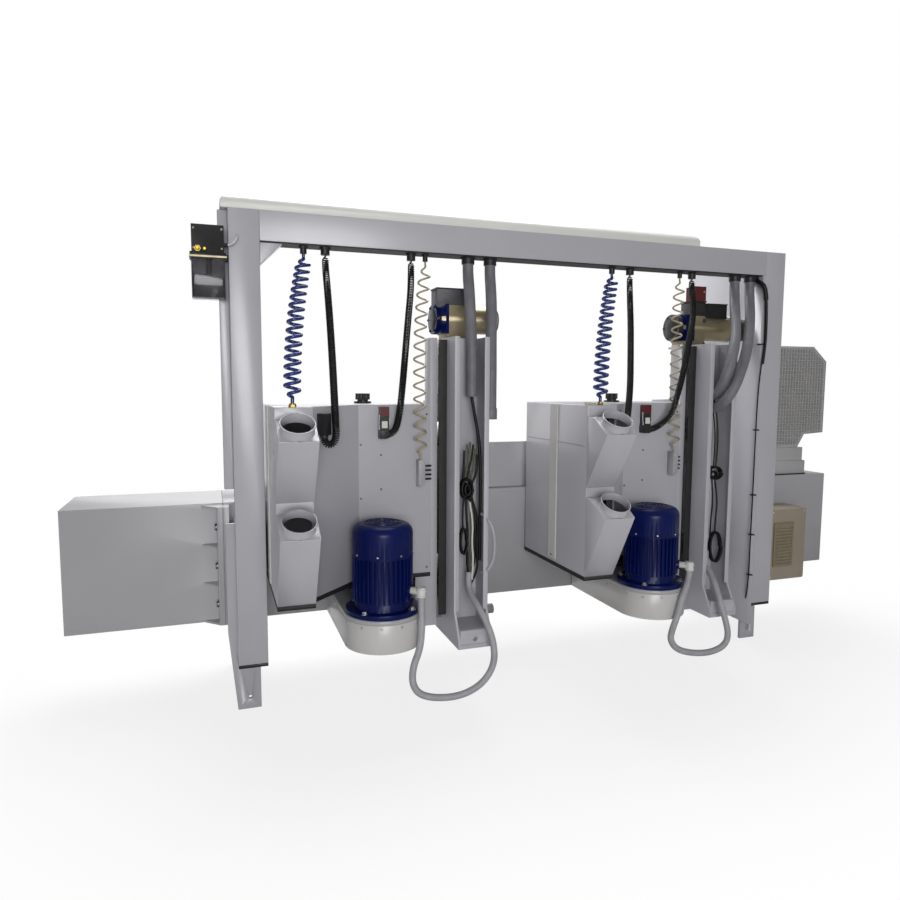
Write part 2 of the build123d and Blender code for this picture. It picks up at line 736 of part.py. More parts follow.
def make_column():
    """Column weldment, open to the rear as a cable channel, cut back to the gear seat above the hood."""
    x0 = COLUMN_LEFT
    x1 = COLUMN_RIGHT
    p = COLUMN_PLATE
    profile = [(BED_REAR, COLUMN_BASE), (FOOT_REAR, COLUMN_BASE), (FOOT_REAR, COLUMN_BASE + FOOT_EDGE),
               (COLUMN_REAR, FOOT_FLARE_Z), (COLUMN_REAR, COLUMN_TOP), (BED_REAR, COLUMN_TOP)]
    column = side_plate(profile, x0, x0 + p) + side_plate(profile, x1 - p, x1)
    inside = (x0 + p, x1 - p)
    column += block(*inside, WEB_Y - p, WEB_Y, COLUMN_BASE, COLUMN_TOP)
    column += block(*inside, BED_REAR - p, BED_REAR, COLUMN_BASE, COLUMN_TOP)
    column += block(*inside, WEB_Y, BED_REAR - p, COLUMN_TOP - p, COLUMN_TOP)
    column += block(*inside, FOOT_REAR, WEB_Y - p, COLUMN_BASE, COLUMN_BASE + FOOT_SOLE)
    column += block(*inside, FOOT_REAR + 5, WEB_Y - p, COLUMN_BASE + FOOT_SOLE, COLUMN_BASE + FOOT_BLOCK)
    column -= rod_y(FOOT_HOLE_R, (x0 + x1) / 2, FOOT_REAR, FOOT_REAR + FOOT_HOLE_DEPTH,
                    COLUMN_BASE + FOOT_HOLE_Z)
    for edge in (x0 + p, x1 - p - LIP + p):
        column += block(edge, edge + LIP - p, COLUMN_REAR, COLUMN_REAR + LIP_T, FOOT_FLARE_Z, COLUMN_TOP)
    column += block(*inside, WEB_Y, BED_REAR - p, SCREW_BEARING_Z, SCREW_BEARING_Z + BEARING_T)
    slot_low = NUT_Z - ARM_H / 2 - LIFT_DOWN - SLOT_MARGIN
    slot_high = NUT_Z + ARM_H / 2 + LIFT_UP + SLOT_MARGIN
    half = ARM_W / 2 + SLOT_MARGIN
    column -= block(x0, x0 + p, SCREW_Y - half, SCREW_Y + half, slot_low, slot_high)
    bore = SCREW_JOURNAL_R + RUN_FIT
    column -= rod(bore, SCREW_X, SCREW_Y, SCREW_BEARING_Z, SCREW_BEARING_Z + BEARING_T)
    column -= rod(bore, SCREW_X, SCREW_Y, COLUMN_TOP - p, COLUMN_TOP)
    column -= block(x0, x1, GEAR_SEAT_FRONT, BED_REAR, UPPER_COLUMN_Z, COLUMN_TOP)
    column -= block(x0, x1 - p, UPPER_COLUMN_FRONT, GEAR_SEAT_FRONT, UPPER_COLUMN_Z, COLUMN_TOP - p)
    column -= block(x0, GEAR_SEAT_LEFT, UPPER_COLUMN_FRONT, GEAR_SEAT_FRONT, COLUMN_TOP - p, COLUMN_TOP)
    return column


def make_column_rails():
    """Two upright guide rails on the left face of a column."""
    rails = []
    for y, top in ((RAIL_REAR_Y, COLUMN_TOP), (RAIL_FRONT_Y, UPPER_COLUMN_Z)):
        rail = block(RAIL_X, COLUMN_LEFT, y - RAIL_W / 2, y + RAIL_W / 2, SLIDE_BOTTOM + 20, top - RAIL_INSET)
        rails.append(rail)
    return rails


def make_way_cover():
    """Black strip that closes the gap between slide and column."""
    y1 = WEB_Y - COLUMN_PLATE - 10
    return block(SLIDE_RIGHT + WAY_COVER_GAP, COLUMN_LEFT, y1 - WAY_COVER_T, y1,
                 SLIDE_BOTTOM + 60, COLUMN_TOP - 10)


def make_gearmotor(side):
    """Worm gear motor on the column top, its axis along X; the right one is longer."""
    z0 = COLUMN_TOP
    z1 = z0 + GEAR_HEIGHT
    axis_z = z0 + GEAR_AXIS
    x = SCREW_X
    y = SCREW_Y
    left = x - GEAR_HALF
    right = x + GEAR_HALF
    body = block(left, right, y - GEAR_HALF, y + GEAR_HALF, z0, z1)
    body = fillet(body.edges().filter_by(Axis.Z), GEAR_HALF * 0.2)
    tip = right + GEAR_BARREL[side]
    body += rod_x(BARREL_R, left - GEAR_END, tip, y, axis_z)
    body += rod_x(FAN_END_R, tip, tip + FAN_END[side], y, axis_z)
    body += rod_x(BARREL_R + 4, tip - 2 * BARREL_RING, tip - BARREL_RING, y, axis_z)
    start = left + TERMINAL_START[side]
    body += block(start, right + 10, y - 50, y + 50, z1 - TERMINAL_SINK, z1 + TERMINAL_RISE)
    body -= rod(SCREW_JOURNAL_R + RUN_FIT, x, y, z0, z0 + JOURNAL_REACH + JOURNAL_ROOM)
    return body


def make_screw():
    """Lead screw with plain journals."""
    screw = rod(SCREW_R, SCREW_X, SCREW_Y, SCREW_BEARING_Z + BEARING_T + SLIDE_FIT,
                COLUMN_TOP - COLUMN_PLATE - SLIDE_FIT)
    screw += rod(SCREW_JOURNAL_R, SCREW_X, SCREW_Y, SCREW_BEARING_Z, COLUMN_TOP + JOURNAL_REACH)
    return screw


def make_slide():
    """Slide plate with the arm and nut that reach the lead screw through the column slot."""
    slide = block(SLIDE_LEFT, SLIDE_RIGHT, HOOD_WALL_Y, SLIDE_FRONT, SLIDE_BOTTOM, HOOD_TOP)
    slide += block(SLIDE_LEFT, SLIDE_RIGHT, HOOD_WALL_Y, HOOD_WALL_Y + SLIDE_UPPER_D, HOOD_TOP, SLIDE_TOP)
    slide += block(SLIDE_LEFT - APRON_W, SLIDE_LEFT, HOOD_WALL_Y, HOOD_WALL_Y + HEAD_APRON_T,
                   SLIDE_BOTTOM, HOOD_BOTTOM - SEAL_HEIGHT)
    arm_low = NUT_Z - ARM_H / 2
    arm_high = NUT_Z + ARM_H / 2
    slide += block(SLIDE_RIGHT, SCREW_X, SCREW_Y - ARM_W / 2, SCREW_Y + ARM_W / 2, arm_low, arm_high)
    slide += rod(NUT_R, SCREW_X, SCREW_Y, arm_low - 10, arm_high + 10)
    slide -= rod(SCREW_R + RUN_FIT, SCREW_X, SCREW_Y, arm_low - 10, arm_high + 10)
    return slide


def make_blocks():
    """Four ball-guide blocks that straddle the rails."""
    blocks = []
    x1 = COLUMN_LEFT - BLOCK_STEP
    half = RAIL_W / 2 + SLIDE_FIT
    front_high = UPPER_COLUMN_Z - 2 * RAIL_INSET - LIFT_UP - BLOCK_L / 2
    for y, upper in ((RAIL_REAR_Y, BLOCK_HIGH_Z), (RAIL_FRONT_Y, front_high)):
        for z in (BLOCK_LOW_Z, upper):
            low = z - BLOCK_L / 2
            high = z + BLOCK_L / 2
            body = block(SLIDE_RIGHT, x1, y - BLOCK_W / 2, y + BLOCK_W / 2, low, high)
            body -= block(RAIL_X - SLIDE_FIT, x1, y - half, y + half, low, high)
            blocks.append(body)
    return blocks


def head_outline(half, front):
    """Plan of the head: round under the motor, straight sides to the front."""
    face = Pos(0, MOTOR_Y) * Circle(half)
    face += Pos(0, (MOTOR_Y + front) / 2) * Rectangle(2 * half, front - MOTOR_Y)
    return face


def make_head_plate():
    """Plate that carries motor and spindle, bolted against the slide."""
    face = head_outline(HEAD_HALF, SLIDE_FRONT)
    arm_rear = HOOD_WALL_Y + 20
    face += Pos((HEAD_HALF + SLIDE_LEFT) / 2, (arm_rear + SLIDE_FRONT) / 2) * Rectangle(
        SLIDE_LEFT - HEAD_HALF, SLIDE_FRONT - arm_rear)
    plate = extrude(Pos(0, 0, HEAD_Z) * face, HEAD_PLATE_T)
    plate -= rod(MOTOR_SHAFT_R + 20, 0, MOTOR_Y, HEAD_Z, HEAD_PLATE_TOP)
    plate -= rod(SPINDLE_R + 10, 0, SPINDLE_Y, HEAD_Z, HEAD_PLATE_TOP)
    return plate


def make_belt_cover():
    """Sheet pan under the head plate that encloses the belt drive."""
    shell = extrude(Pos(0, 0, COVER_BOTTOM) * head_outline(HEAD_HALF, SLIDE_FRONT), COVER_HEIGHT)
    inner = head_outline(HEAD_HALF - COVER_SHEET, SLIDE_FRONT - COVER_SHEET)
    return shell - extrude(Pos(0, 0, COVER_BOTTOM + COVER_SHEET) * inner, COVER_HEIGHT)


def motor_port(reach):
    """Point at the given distance from the motor axis, on the way to the conduit elbow."""
    angle = radians(PORT_ANGLE)
    return Vector(reach * cos(angle), MOTOR_Y + reach * sin(angle), HOOD_BOTTOM)


def make_motor():
    """Flange motor: flange, finned body and domed fan cover."""
    z0 = HEAD_PLATE_TOP
    fins_top = MOTOR_TOP - FAN_COVER_H
    motor = rod(MOTOR_FLANGE_R, 0, MOTOR_Y, z0, z0 + MOTOR_FLANGE_T)
    motor += rod(MOTOR_R - 12, 0, MOTOR_Y, z0 + MOTOR_FLANGE_T, z0 + MOTOR_FLANGE_T + 34)
    motor += rod(MOTOR_CORE_R, 0, MOTOR_Y, z0 + MOTOR_FLANGE_T, fins_top)
    fin_low = z0 + MOTOR_FLANGE_T + 40
    fin = block(-FIN_T / 2, FIN_T / 2, MOTOR_CORE_R - 4, MOTOR_R, fin_low, fins_top)
    motor += [Pos(0, MOTOR_Y, 0) * Rot(0, 0, 360 * i / FIN_COUNT) * fin for i in range(FIN_COUNT)]
    cover = rod(MOTOR_R, 0, MOTOR_Y, fins_top, MOTOR_TOP)
    motor += fillet(cover.edges().group_by(Axis.Z)[-1], 45)
    motor += bar(24, motor_port(MOTOR_CORE_R - 20), motor_port(MOTOR_R + PORT_BOSS))
    motor -= rod(MOTOR_SHAFT_R + RUN_FIT, 0, MOTOR_Y, z0, z0 + 62)
    return motor


def pulley(radius, y):
    """Ribbed belt pulley with rims."""
    wheel = rod(radius, 0, y, PULLEY_Z, PULLEY_Z + PULLEY_WIDTH)
    for i in range(3):
        z = PULLEY_Z + PULLEY_WIDTH * (0.2 + 0.3 * i)
        wheel -= Pos(0, y, z) * Torus(radius, 2.2)
    return wheel


def make_motor_pulley():
    """Motor shaft end with its pulley."""
    shaft = rod(MOTOR_SHAFT_R, 0, MOTOR_Y, PULLEY_Z, HEAD_PLATE_TOP + 60)
    return shaft + pulley(MOTOR_PULLEY_R, MOTOR_Y)


def make_belt():
    """Flat belt round both pulleys."""
    def loop(extra):
        small = SPINDLE_PULLEY_R + SLIDE_FIT + extra
        large = MOTOR_PULLEY_R + SLIDE_FIT + extra
        lean = (large - small) / CENTRE_DISTANCE
        side = sqrt(1 - lean * lean)
        corners = [(large * side, MOTOR_Y + large * lean), (small * side, SPINDLE_Y + small * lean),
                   (-small * side, SPINDLE_Y + small * lean), (-large * side, MOTOR_Y + large * lean)]
        face = outline(corners)
        return face + Pos(0, SPINDLE_Y) * Circle(small) + Pos(0, MOTOR_Y) * Circle(large)
    z0 = PULLEY_Z + (PULLEY_WIDTH - BELT_WIDTH) / 2
    return extrude(Pos(0, 0, z0) * (loop(BELT_T) - loop(0)), BELT_WIDTH)


def make_housing():
    """Spindle housing on the head plate."""
    housing = rod(HOUSING_FLANGE_R, 0, SPINDLE_Y, HEAD_PLATE_TOP, HEAD_PLATE_TOP + 24)
    housing += rod(HOUSING_R, 0, SPINDLE_Y, HEAD_PLATE_TOP + 24, HOUSING_TOP)
    for z in (HEAD_PLATE_TOP + 60, HOUSING_TOP - 60):
        housing += rod(HOUSING_R + 6, 0, SPINDLE_Y, z, z + 30)
    return housing - rod(SPINDLE_R + RUN_FIT, 0, SPINDLE_Y, HEAD_PLATE_TOP, HOUSING_TOP)


def make_spindle():
    """Spindle with its pulley below and the cutter arbor above."""
    shaft = rod(SPINDLE_R, 0, SPINDLE_Y, PULLEY_Z, HOUSING_TOP + 4)
    shaft += rod(ARBOR_R + 14, 0, SPINDLE_Y, HOUSING_TOP + 4, CUTTER_BOTTOM)
    shaft += rod(ARBOR_R, 0, SPINDLE_Y, CUTTER_BOTTOM, CUTTER_TOP + NUT_HEIGHT + 12)
    return shaft + pulley(SPINDLE_PULLEY_R, SPINDLE_Y)


def make_cutters():
    """Stack of cutter heads with spacers, and the lock nut on top."""
    spindle = Pos(0, SPINDLE_Y, 0)
    stack = rod(ARBOR_R + 16, 0, SPINDLE_Y, CUTTER_BOTTOM, CUTTER_TOP)
    for i in range(CUTTER_COUNT):
        z = CUTTER_BOTTOM + CUTTER_PITCH * i
        stack += rod(CUTTER_BODY_R, 0, SPINDLE_Y, z, z + CUTTER_T)
        knife = block(-7, 7, CUTTER_BODY_R - 24, CUTTER_R, z + 1, z + CUTTER_T - 1)
        gullet = rod(20, 24, CUTTER_BODY_R + 6, z, z + CUTTER_T)
        for k in range(KNIVES):
            turn = Rot(0, 0, 360 * k / KNIVES + 16 * i)
            stack -= spindle * turn * gullet
            stack += spindle * turn * knife
    nut = extrude(Pos(0, SPINDLE_Y, CUTTER_TOP) * RegularPolygon(ARBOR_R + 18, 6), NUT_HEIGHT)
    bore = rod(ARBOR_R, 0, SPINDLE_Y, CUTTER_BOTTOM, CUTTER_TOP + NUT_HEIGHT)
    return stack + nut - bore


def hood_points(inset):
    """Plan of the hood, moved inward by inset."""
    slant = inset * tan(radians(22.5))
    return [(HOOD_LEFT + inset, SPOUT_FACE_Y + inset), (SPOUT_RIGHT - inset, SPOUT_FACE_Y + inset),
            (SPOUT_RIGHT - inset, OBLIQUE_Y + slant), (OBLIQUE_X - slant, HOOD_WALL_Y + inset),
            (SLIDE_LEFT - inset, HOOD_WALL_Y + inset), (SLIDE_LEFT - inset, HEAD_FRONT - inset),
            (HOOD_LEFT + inset, HEAD_FRONT - inset)]


def spout_mouths():
    """Foot height and mouth height of the lower and the upper spout."""
    rise = (COLLAR_R + COLLAR_SEAT) * cos(radians(COLLAR_TILT))
    return ((HOOD_BOTTOM, LOWER_MOUTH_Z), (LOWER_MOUTH_Z + rise + SPOUT_GAP, UPPER_MOUTH_Z))


def spout_profile(foot, mouth, inset):
    """Side outline of a spout in Y and Z: leaning rear face, sloped top for the collar, flat back."""
    lean = radians(COLLAR_TILT)
    depth = COLLAR_LENGTH + inset
    half = COLLAR_R + COLLAR_SEAT - inset
    seat_y = SPOUT_REAR + COLLAR_R * sin(lean) + depth * cos(lean)
    seat_z = mouth - depth * sin(lean)
    low = (seat_y - half * sin(lean), seat_z - half * cos(lean))
    high = (seat_y + half * sin(lean), seat_z + half * cos(lean))
    return [(SPOUT_FACE_Y, foot + 2 * inset), low, high, (SPOUT_FACE_Y, high[1])]


def collar_axis(mouth):
    """Mouth centre and outward direction of a collar."""
    lean = radians(COLLAR_TILT)
    centre = (SPOUT_X, SPOUT_REAR + COLLAR_R * sin(lean), mouth)
    return centre, (0, -cos(lean), sin(lean))


def make_spouts():
    """Lower and upper dust spout: sheet duct with a round collar that points up and back."""
    spouts = []
    for foot, mouth in spout_mouths():
        centre, out = collar_axis(mouth)
        tip = Vector(*centre)
        seat = tip - Vector(*out) * (COLLAR_LENGTH + SHEET * 2)
        duct = side_plate(spout_profile(foot, mouth, 0), HOOD_LEFT, SPOUT_RIGHT)
        duct += bar(COLLAR_R, seat, tip)
        duct -= side_plate(spout_profile(foot, mouth, SHEET), HOOD_LEFT + SHEET, SPOUT_RIGHT - SHEET)
        duct -= bar(COLLAR_R - SHEET, seat - Vector(*out) * SHEET, tip)
        spouts.append(duct)
    return spouts


def make_hood():
    """Sheet hood round the cutters, open to the spouts at the rear and to the work at the front."""
    hood = plan_plate(hood_points(0), HOOD_BOTTOM, HOOD_TOP)
    hood -= plan_plate(hood_points(SHEET), HOOD_BOTTOM + SHEET, HOOD_TOP - SHEET)
    hood -= block(-WINDOW_HALF, WINDOW_HALF, HEAD_FRONT - SHEET, HEAD_FRONT,
                  CUTTER_BOTTOM - WINDOW_MARGIN, CUTTER_TOP + WINDOW_MARGIN)
    for foot, mouth in spout_mouths():
        hood -= block(HOOD_LEFT + 12, SPOUT_RIGHT - 12, SPOUT_FACE_Y, SPOUT_FACE_Y + SHEET, foot + 14, mouth)
    hood -= rod(HOUSING_R + 8, 0, SPINDLE_Y, HOOD_BOTTOM, HOOD_BOTTOM + SHEET)
    return hood - rod(SHANK_R + RUN_FIT, 0, SPINDLE_Y, HOOD_TOP - SHEET, HOOD_TOP)


def make_knob():
    """Lobed knob on the hood top, over the spindle, with its shank."""
    low = HOOD_TOP + SLIDE_FIT
    high = low + KNOB_H
    knob = rod(KNOB_R, 0, SPINDLE_Y, low, low + KNOB_BASE)
    knob += rod(KNOB_HUB_R, 0, SPINDLE_Y, low + KNOB_BASE, high)
    lobe = rod(KNOB_LOBE_R, KNOB_HUB_R - 2, 0, low + 2 * KNOB_BASE, high)
    knob += [Pos(0, SPINDLE_Y, 0) * Rot(0, 0, 360 * i / KNOB_LOBES) * lobe for i in range(KNOB_LOBES)]
    return knob + rod(SHANK_R, 0, SPINDLE_Y, HOOD_TOP - SHANK_REACH, low + KNOB_BASE)


def make_fittings():
    """Connector, cable plug, lubrication distributor, air fitting, conduit elbow and rubber edge seal."""
    wall = HOOD_WALL_Y
    socket_z = HOOD_TOP - CONNECTOR_DROP
    connector = block(25, 65, wall - CONNECTOR_D, wall, socket_z, HOOD_TOP - 12)
    connector += block(20, 50, wall - SOCKET_D, wall, socket_z - SOCKET_H, socket_z)
    along = Vector(SPOUT_RIGHT + 47, OBLIQUE_Y + 47, 0)
    stand = PLUG_DEPTH / 2 * sin(radians(45))
    place = Pos(along.X + stand, along.Y - stand, PLUG_Z + PLUG_H / 2) * Rot(0, 0, 45)
    plug = place * Box(PLUG_W, PLUG_DEPTH, PLUG_H)
    low = HOOD_TOP - LUBE_DROP
    high = low + LUBE_H
    left = SLIDE_LEFT - LUBE_OFFSET
    lube = front_plate([(left, low), (left + 12, low), (left + 32, low + 20), (left + 32, high - 25),
                        (left + 22, high), (left, high)], wall - LUBE_D, wall)
    for i in range(LUBE_TUBES):
        lube += rod_x(LUBE_TUBE_R, left + 26, SLIDE_LEFT, wall - 12, low + 35 + 22 * i)
    air = rod(AIR_FITTING_R, HOOD_LEFT + AIR_INSET, SPOUT_FACE_Y + AIR_OFFSET,
              HOOD_TOP, HOOD_TOP + AIR_FITTING_H)
    knee = motor_port(HEAD_HALF + MOTOR_CONDUIT_R + 3)
    elbow = bar(17, motor_port(MOTOR_R + PORT_BOSS), knee)
    elbow += rod(MOTOR_CONDUIT_R + 4, knee.X, knee.Y, HOOD_BOTTOM - ELBOW_DROP, HOOD_BOTTOM + 20)
    seal = plan_plate(hood_points(0), HOOD_BOTTOM - SEAL_HEIGHT, HOOD_BOTTOM)
    seal -= plan_plate(hood_points(SHEET), HOOD_BOTTOM - SEAL_HEIGHT, HOOD_BOTTOM)
    return connector, plug, lube, air, elbow, seal


def make_carriage():
    """Carriage plate with its guide blocks, and the table with fence, handle and support."""
    x0 = CARRIAGE_X - CARRIAGE_HALF
    x1 = CARRIAGE_X + CARRIAGE_HALF
    rail_top = BED_TOP + BED_RAIL_H
    plate_z = rail_top + CARRIAGE_RISE
    plate_top = plate_z + CARRIAGE_PLATE_T
    wing = CARRIAGE_BLOCK_W / 2
    base = block(x0, x1, BED_RAIL_REAR_Y - wing, BED_FRONT - 20, plate_z, plate_top)
    half = BED_RAIL_W / 2 + SLIDE_FIT
    reach = CARRIAGE_BLOCK_L / 2
    low = BED_TOP + BLOCK_CLEAR
    for y in (BED_RAIL_REAR_Y, BED_RAIL_FRONT_Y):
        for x in (x0 + CARRIAGE_BLOCK_INSET, x1 - CARRIAGE_BLOCK_INSET):
            base += block(x - reach, x + reach, y - wing, y + wing, low, plate_z)
            base -= block(x - reach, x + reach, y - half, y + half, low, rail_top + SLIDE_FIT)
    apron = APRON_Y + APRON_T
    table_top = TABLE_Z + TABLE_T
    table = block(x0, x1, apron, TABLE_FRONT, TABLE_Z, table_top)
    table = fillet(table.edges().filter_by(Axis.Z), TABLE_ROUND)
    table += block(x0, x1, APRON_Y, apron, plate_top, APRON_TOP)
    for x in (x0 + 40, CARRIAGE_X, x1 - 40):
        rib = [(apron, plate_top), (BED_FRONT - 30, plate_top), (TABLE_FRONT - 40, TABLE_Z), (apron, TABLE_Z)]
        table += side_plate(rib, x - SUPPORT_T / 2, x + SUPPORT_T / 2)
    grip_x = x0 + GRIP_INSET
    grip_z = table_top + GRIP_RISE
    front = TABLE_FRONT - 15
    rear = front - GRIP_LENGTH
    for y in (rear + 15, front - 15):
        table += rod(GRIP_POST_R, grip_x, y, table_top, grip_z)
    table += rod_y(GRIP_R, grip_x, rear, front, grip_z)
    return base, table


def make_clamp():
    """Clamp frame with its air cylinder on the table, and the rod with the pressure pad."""
    table_top = TABLE_Z + TABLE_T
    x = CLAMP_X
    root = APRON_Y + APRON_T
    half = CLAMP_POST / 2
    arm = CLAMP_ARM / 2
    frame = block(x - half, x + half, root, root + CLAMP_POST, table_top, CLAMP_TOP)
    frame += block(x - arm, x + arm, root + CLAMP_POST, CLAMP_Y + 45, CLAMP_TOP - CLAMP_ARM, CLAMP_TOP)
    barrel = CLAMP_TOP - CLAMP_BARREL
    frame += rod(CLAMP_BORE_R, x, CLAMP_Y, barrel, CLAMP_TOP + CLAMP_CAP)
    frame -= rod(CLAMP_ROD_R + RUN_FIT, x, CLAMP_Y, barrel, CLAMP_TOP + 10)
    pad_low = table_top + CLAMP_OPENING
    pad_high = pad_low + CLAMP_PAD_T
    press = rod(CLAMP_ROD_R, x, CLAMP_Y, pad_high, CLAMP_TOP - 8)
    press += rod(CLAMP_PAD_R, x, CLAMP_Y, pad_low, pad_high)
    return frame, press


def make_bed_rails():
    """Two guide rails along the bed top."""
    half = BED_RAIL_W / 2
    return [block(BED_RAIL_X0, BED_RAIL_X1, y - half, y + half, BED_TOP, BED_TOP + BED_RAIL_H)
            for y in (BED_RAIL_REAR_Y, BED_RAIL_FRONT_Y)]


# hose exits under the beam, X from the unit's spindle plane
EXITS = {
    "left": {"air": -308, "coil_a": -203, "coil_b": 232, "lube": 307, "conduit_a": 541, "conduit_b": 665},
    "right": {"air": -88, "coil_a": 30, "coil_b": 454, "lube": 369, "conduit_a": 766, "conduit_b": 879},
}
EXIT_R = {"air": 16, "coil_a": 22, "coil_b": 22, "lube": 13, "conduit_a": 34, "conduit_b": 34}
ELBOW = (582.0, -372.0, 1500.0)

# routes below the exits, from the unit's spindle plane
CONDUITS = {
    "left": {
        "conduit_a": [
            (531, -185, 2150), (505, -270, 2040), (483, -345, 1920), (479, -370, 1790), (478, -372, 1680),
            (479, -371, 1590)],
        "conduit_b": [
            (655, -180, 2150), (636, -240, 2030), (610, -300, 1880), (591, -350, 1740), (582, -372, 1630),
            (582, -372, 1530)],
    },
    "right": {
        "conduit_a": [
            (735, -182, 2150), (665, -272, 2060), (572, -385, 1975), (482, -490, 1880), (434, -515, 1770),
            (414, -500, 1680), (422, -448, 1615), (424, -385, 1585), (424, -303, 1585)],
        "conduit_b": [
            (862, -165, 2150), (790, -255, 2040), (690, -360, 1920), (585, -460, 1815), (495, -522, 1715),
            (448, -540, 1640), (426, -510, 1575), (426, -450, 1535), (430, -380, 1516), (430, -303, 1516)],
    },
}
WIRES = {
    "left": [(479, -371, 1590), (495, -374, 1497), (515, -378, 1387), (525, -380, 1270), (525, -382, 1041),
             (525, -382, 757)],
    "right": [(424, -340, 1790), (424, -340, 1760), (404, -346, 1730), (398, -350, 1690),
              (402, -352, 1650), (416, -350, 1622)],
}
COIL_CORDS = {
    "left": {
        "coil_a": [
            (-200, -172, 2120), (-202, -245, 1970), (-208, -335, 1800), (-217, -430, 1640),
            (-224, -500, 1510), (-222, -525, 1385), (-276, -517, 1375), (-276, -517, 1422)],
        "coil_b": [
            (222, -170, 2120), (196, -215, 1980), (166, -270, 1810), (138, -318, 1640), (116, -342, 1500),
            (92, -334, 1404), (50, -334, 1404)],
    },
    "right": {
        "coil_a": [
            (10, -180, 2120), (-40, -270, 1970), (-92, -355, 1810), (-145, -440, 1640), (-198, -505, 1500),
            (-218, -525, 1385), (-276, -517, 1375), (-276, -517, 1422)],
        "coil_b": [
            (440, -180, 2130), (395, -238, 2025), (326, -310, 1935), (280, -346, 1830), (238, -372, 1710),
            (198, -382, 1590), (165, -376, 1480), (92, -334, 1404), (50, -334, 1404)],
    },
}
MOTOR_CONDUITS = {
    "left": [(152, -602, 540), (142, -612, 428), (106, -606, 335), (104, -606, 250), (147, -606, 191),
             (261, -606, 163), (372, -606, 168), (465, -604, 213), (521, -600, 295), (521, -592, 392),
             (498, -562, 485), (472, -505, 555), (462, -430, 592), (464, -378, 630), (468, -376, 700)],
    "right": [(64, -662, 552), (24, -674, 450), (12, -650, 368), (14, -635, 309), (63, -632, 248),
              (183, -628, 212), (299, -624, 204), (389, -618, 230), (418, -608, 285), (404, -592, 372),
              (385, -575, 450), (394, -520, 535), (415, -440, 590), (430, -380, 625), (440, -374, 700)],
}
AIR_END = (HOOD_LEFT + AIR_INSET, SPOUT_FACE_Y + AIR_OFFSET, HOOD_TOP + AIR_FITTING_H)
LUBE_END = (SLIDE_LEFT - LUBE_OFFSET + 16, HOOD_WALL_Y - 38, HOOD_TOP - LUBE_DROP + LUBE_H)


def spiral_axis(x, end, tube_radius, lean, early):
    """Curved axis of a spiral hose from its gland to its fitting, less the straight tails."""
    tail = 2 * tube_radius + END_GAP
    top = Vector(x, GLAND_Y, GLAND_Z - tail)
    foot = Vector(*end) + Vector(0, 0, tail)
    drop = top.Z - foot.Z
    return [top, top + Vector(0, 0, -0.1 * drop), foot + Vector(*lean, early * drop), foot]


def hung(x, route):
    """Route of a cord that leaves its gland straight down."""
    return [(x, GLAND_Y, GLAND_Z), (x, GLAND_Y, GLAND_Z - DROP)] + route


def make_glands():
    """Cable glands under the beam, elbow and plug on the left column, junction block on the right."""
    glands = []
    for side, unit in UNITS.items():
        for name, x in EXITS[side].items():
            gland = rod(EXIT_R[name], unit + x, GLAND_Y, GLAND_Z, BEAM_BOTTOM)
            nut = RegularPolygon(EXIT_R[name] + 6, 6)
            gland += extrude(Pos(unit + x, GLAND_Y, BEAM_BOTTOM - 14) * nut, 14)
            glands.append(gland)
    x, y, z = ELBOW
    left = UNITS["left"]
    elbow = rod_x(22, left + COLUMN_RIGHT, left + x, y, z) + rod(32, left + x, y, z - 25, z + 30)
    plug = rod_x(SIDE_PLUG_R, left + COLUMN_RIGHT, left + COLUMN_RIGHT + SIDE_PLUG_L, COLUMN_REAR + 25,
                 COLUMN_BASE + SIDE_PLUG_Z)
    x0 = UNITS["right"] + COLUMN_LEFT + COLUMN_PLATE + 17
    web = WEB_Y - COLUMN_PLATE
    high = COLUMN_TOP - 20
    junction = block(x0, x0 + JUNCTION_W, web - JUNCTION_D, web, high - JUNCTION_H, high)
    return glands + [elbow, plug, junction]


os.makedirs("parts", exist_ok=True)

save("bed_main", make_bed())
save("bed_left_extension", make_extension())
leg_plates, leg_bolts = make_legs()
save("bed_legs", *leg_plates)
save("frame_bolts", *flange_bolts(), *leg_bolts)
save("portal_posts", *make_posts())
save("portal_beam", make_beam())
save("post_end_caps", *[block(x, x + POST_W, POST_REAR, POST_FRONT, POST_BOTTOM - CAP_T, POST_BOTTOM)
                        for x in (PORTAL_LEFT, PORTAL_RIGHT - POST_W)])
save("cable_covers", *make_cable_covers())
pump_head, reservoir = make_pump()
save("lube_pump", pump_head)
save("lube_reservoir", reservoir)
cabinet_box, air_grille = make_cabinet()
save("control_cabinet", cabinet_box)
save("cabinet_grille", air_grille)
guard_base, guard_mesh = make_end_guard()
save("end_guard_base", guard_base)
save("mesh_guard", guard_mesh)
save("hose_glands", *make_glands())

carriage_base, carriage_table = make_carriage()
clamp_frame, clamp_rod = make_clamp()
save("carriage_base", carriage_base)
save("carriage_table", carriage_table)
save("clamp_frame", clamp_frame)
save("clamp_rod", clamp_rod)

places = [Pos(unit, 0, 0) for unit in UNITS.values()]
column_shape = make_column()
column_rails = make_column_rails()
save("columns", *[place * column_shape for place in places])
save("guide_rails", *make_bed_rails(), *[place * rail for place in places for rail in column_rails])
save("way_covers", *[place * make_way_cover() for place in places])
save("z_gearmotors", *[Pos(unit, 0, 0) * make_gearmotor(side) for side, unit in UNITS.items()])

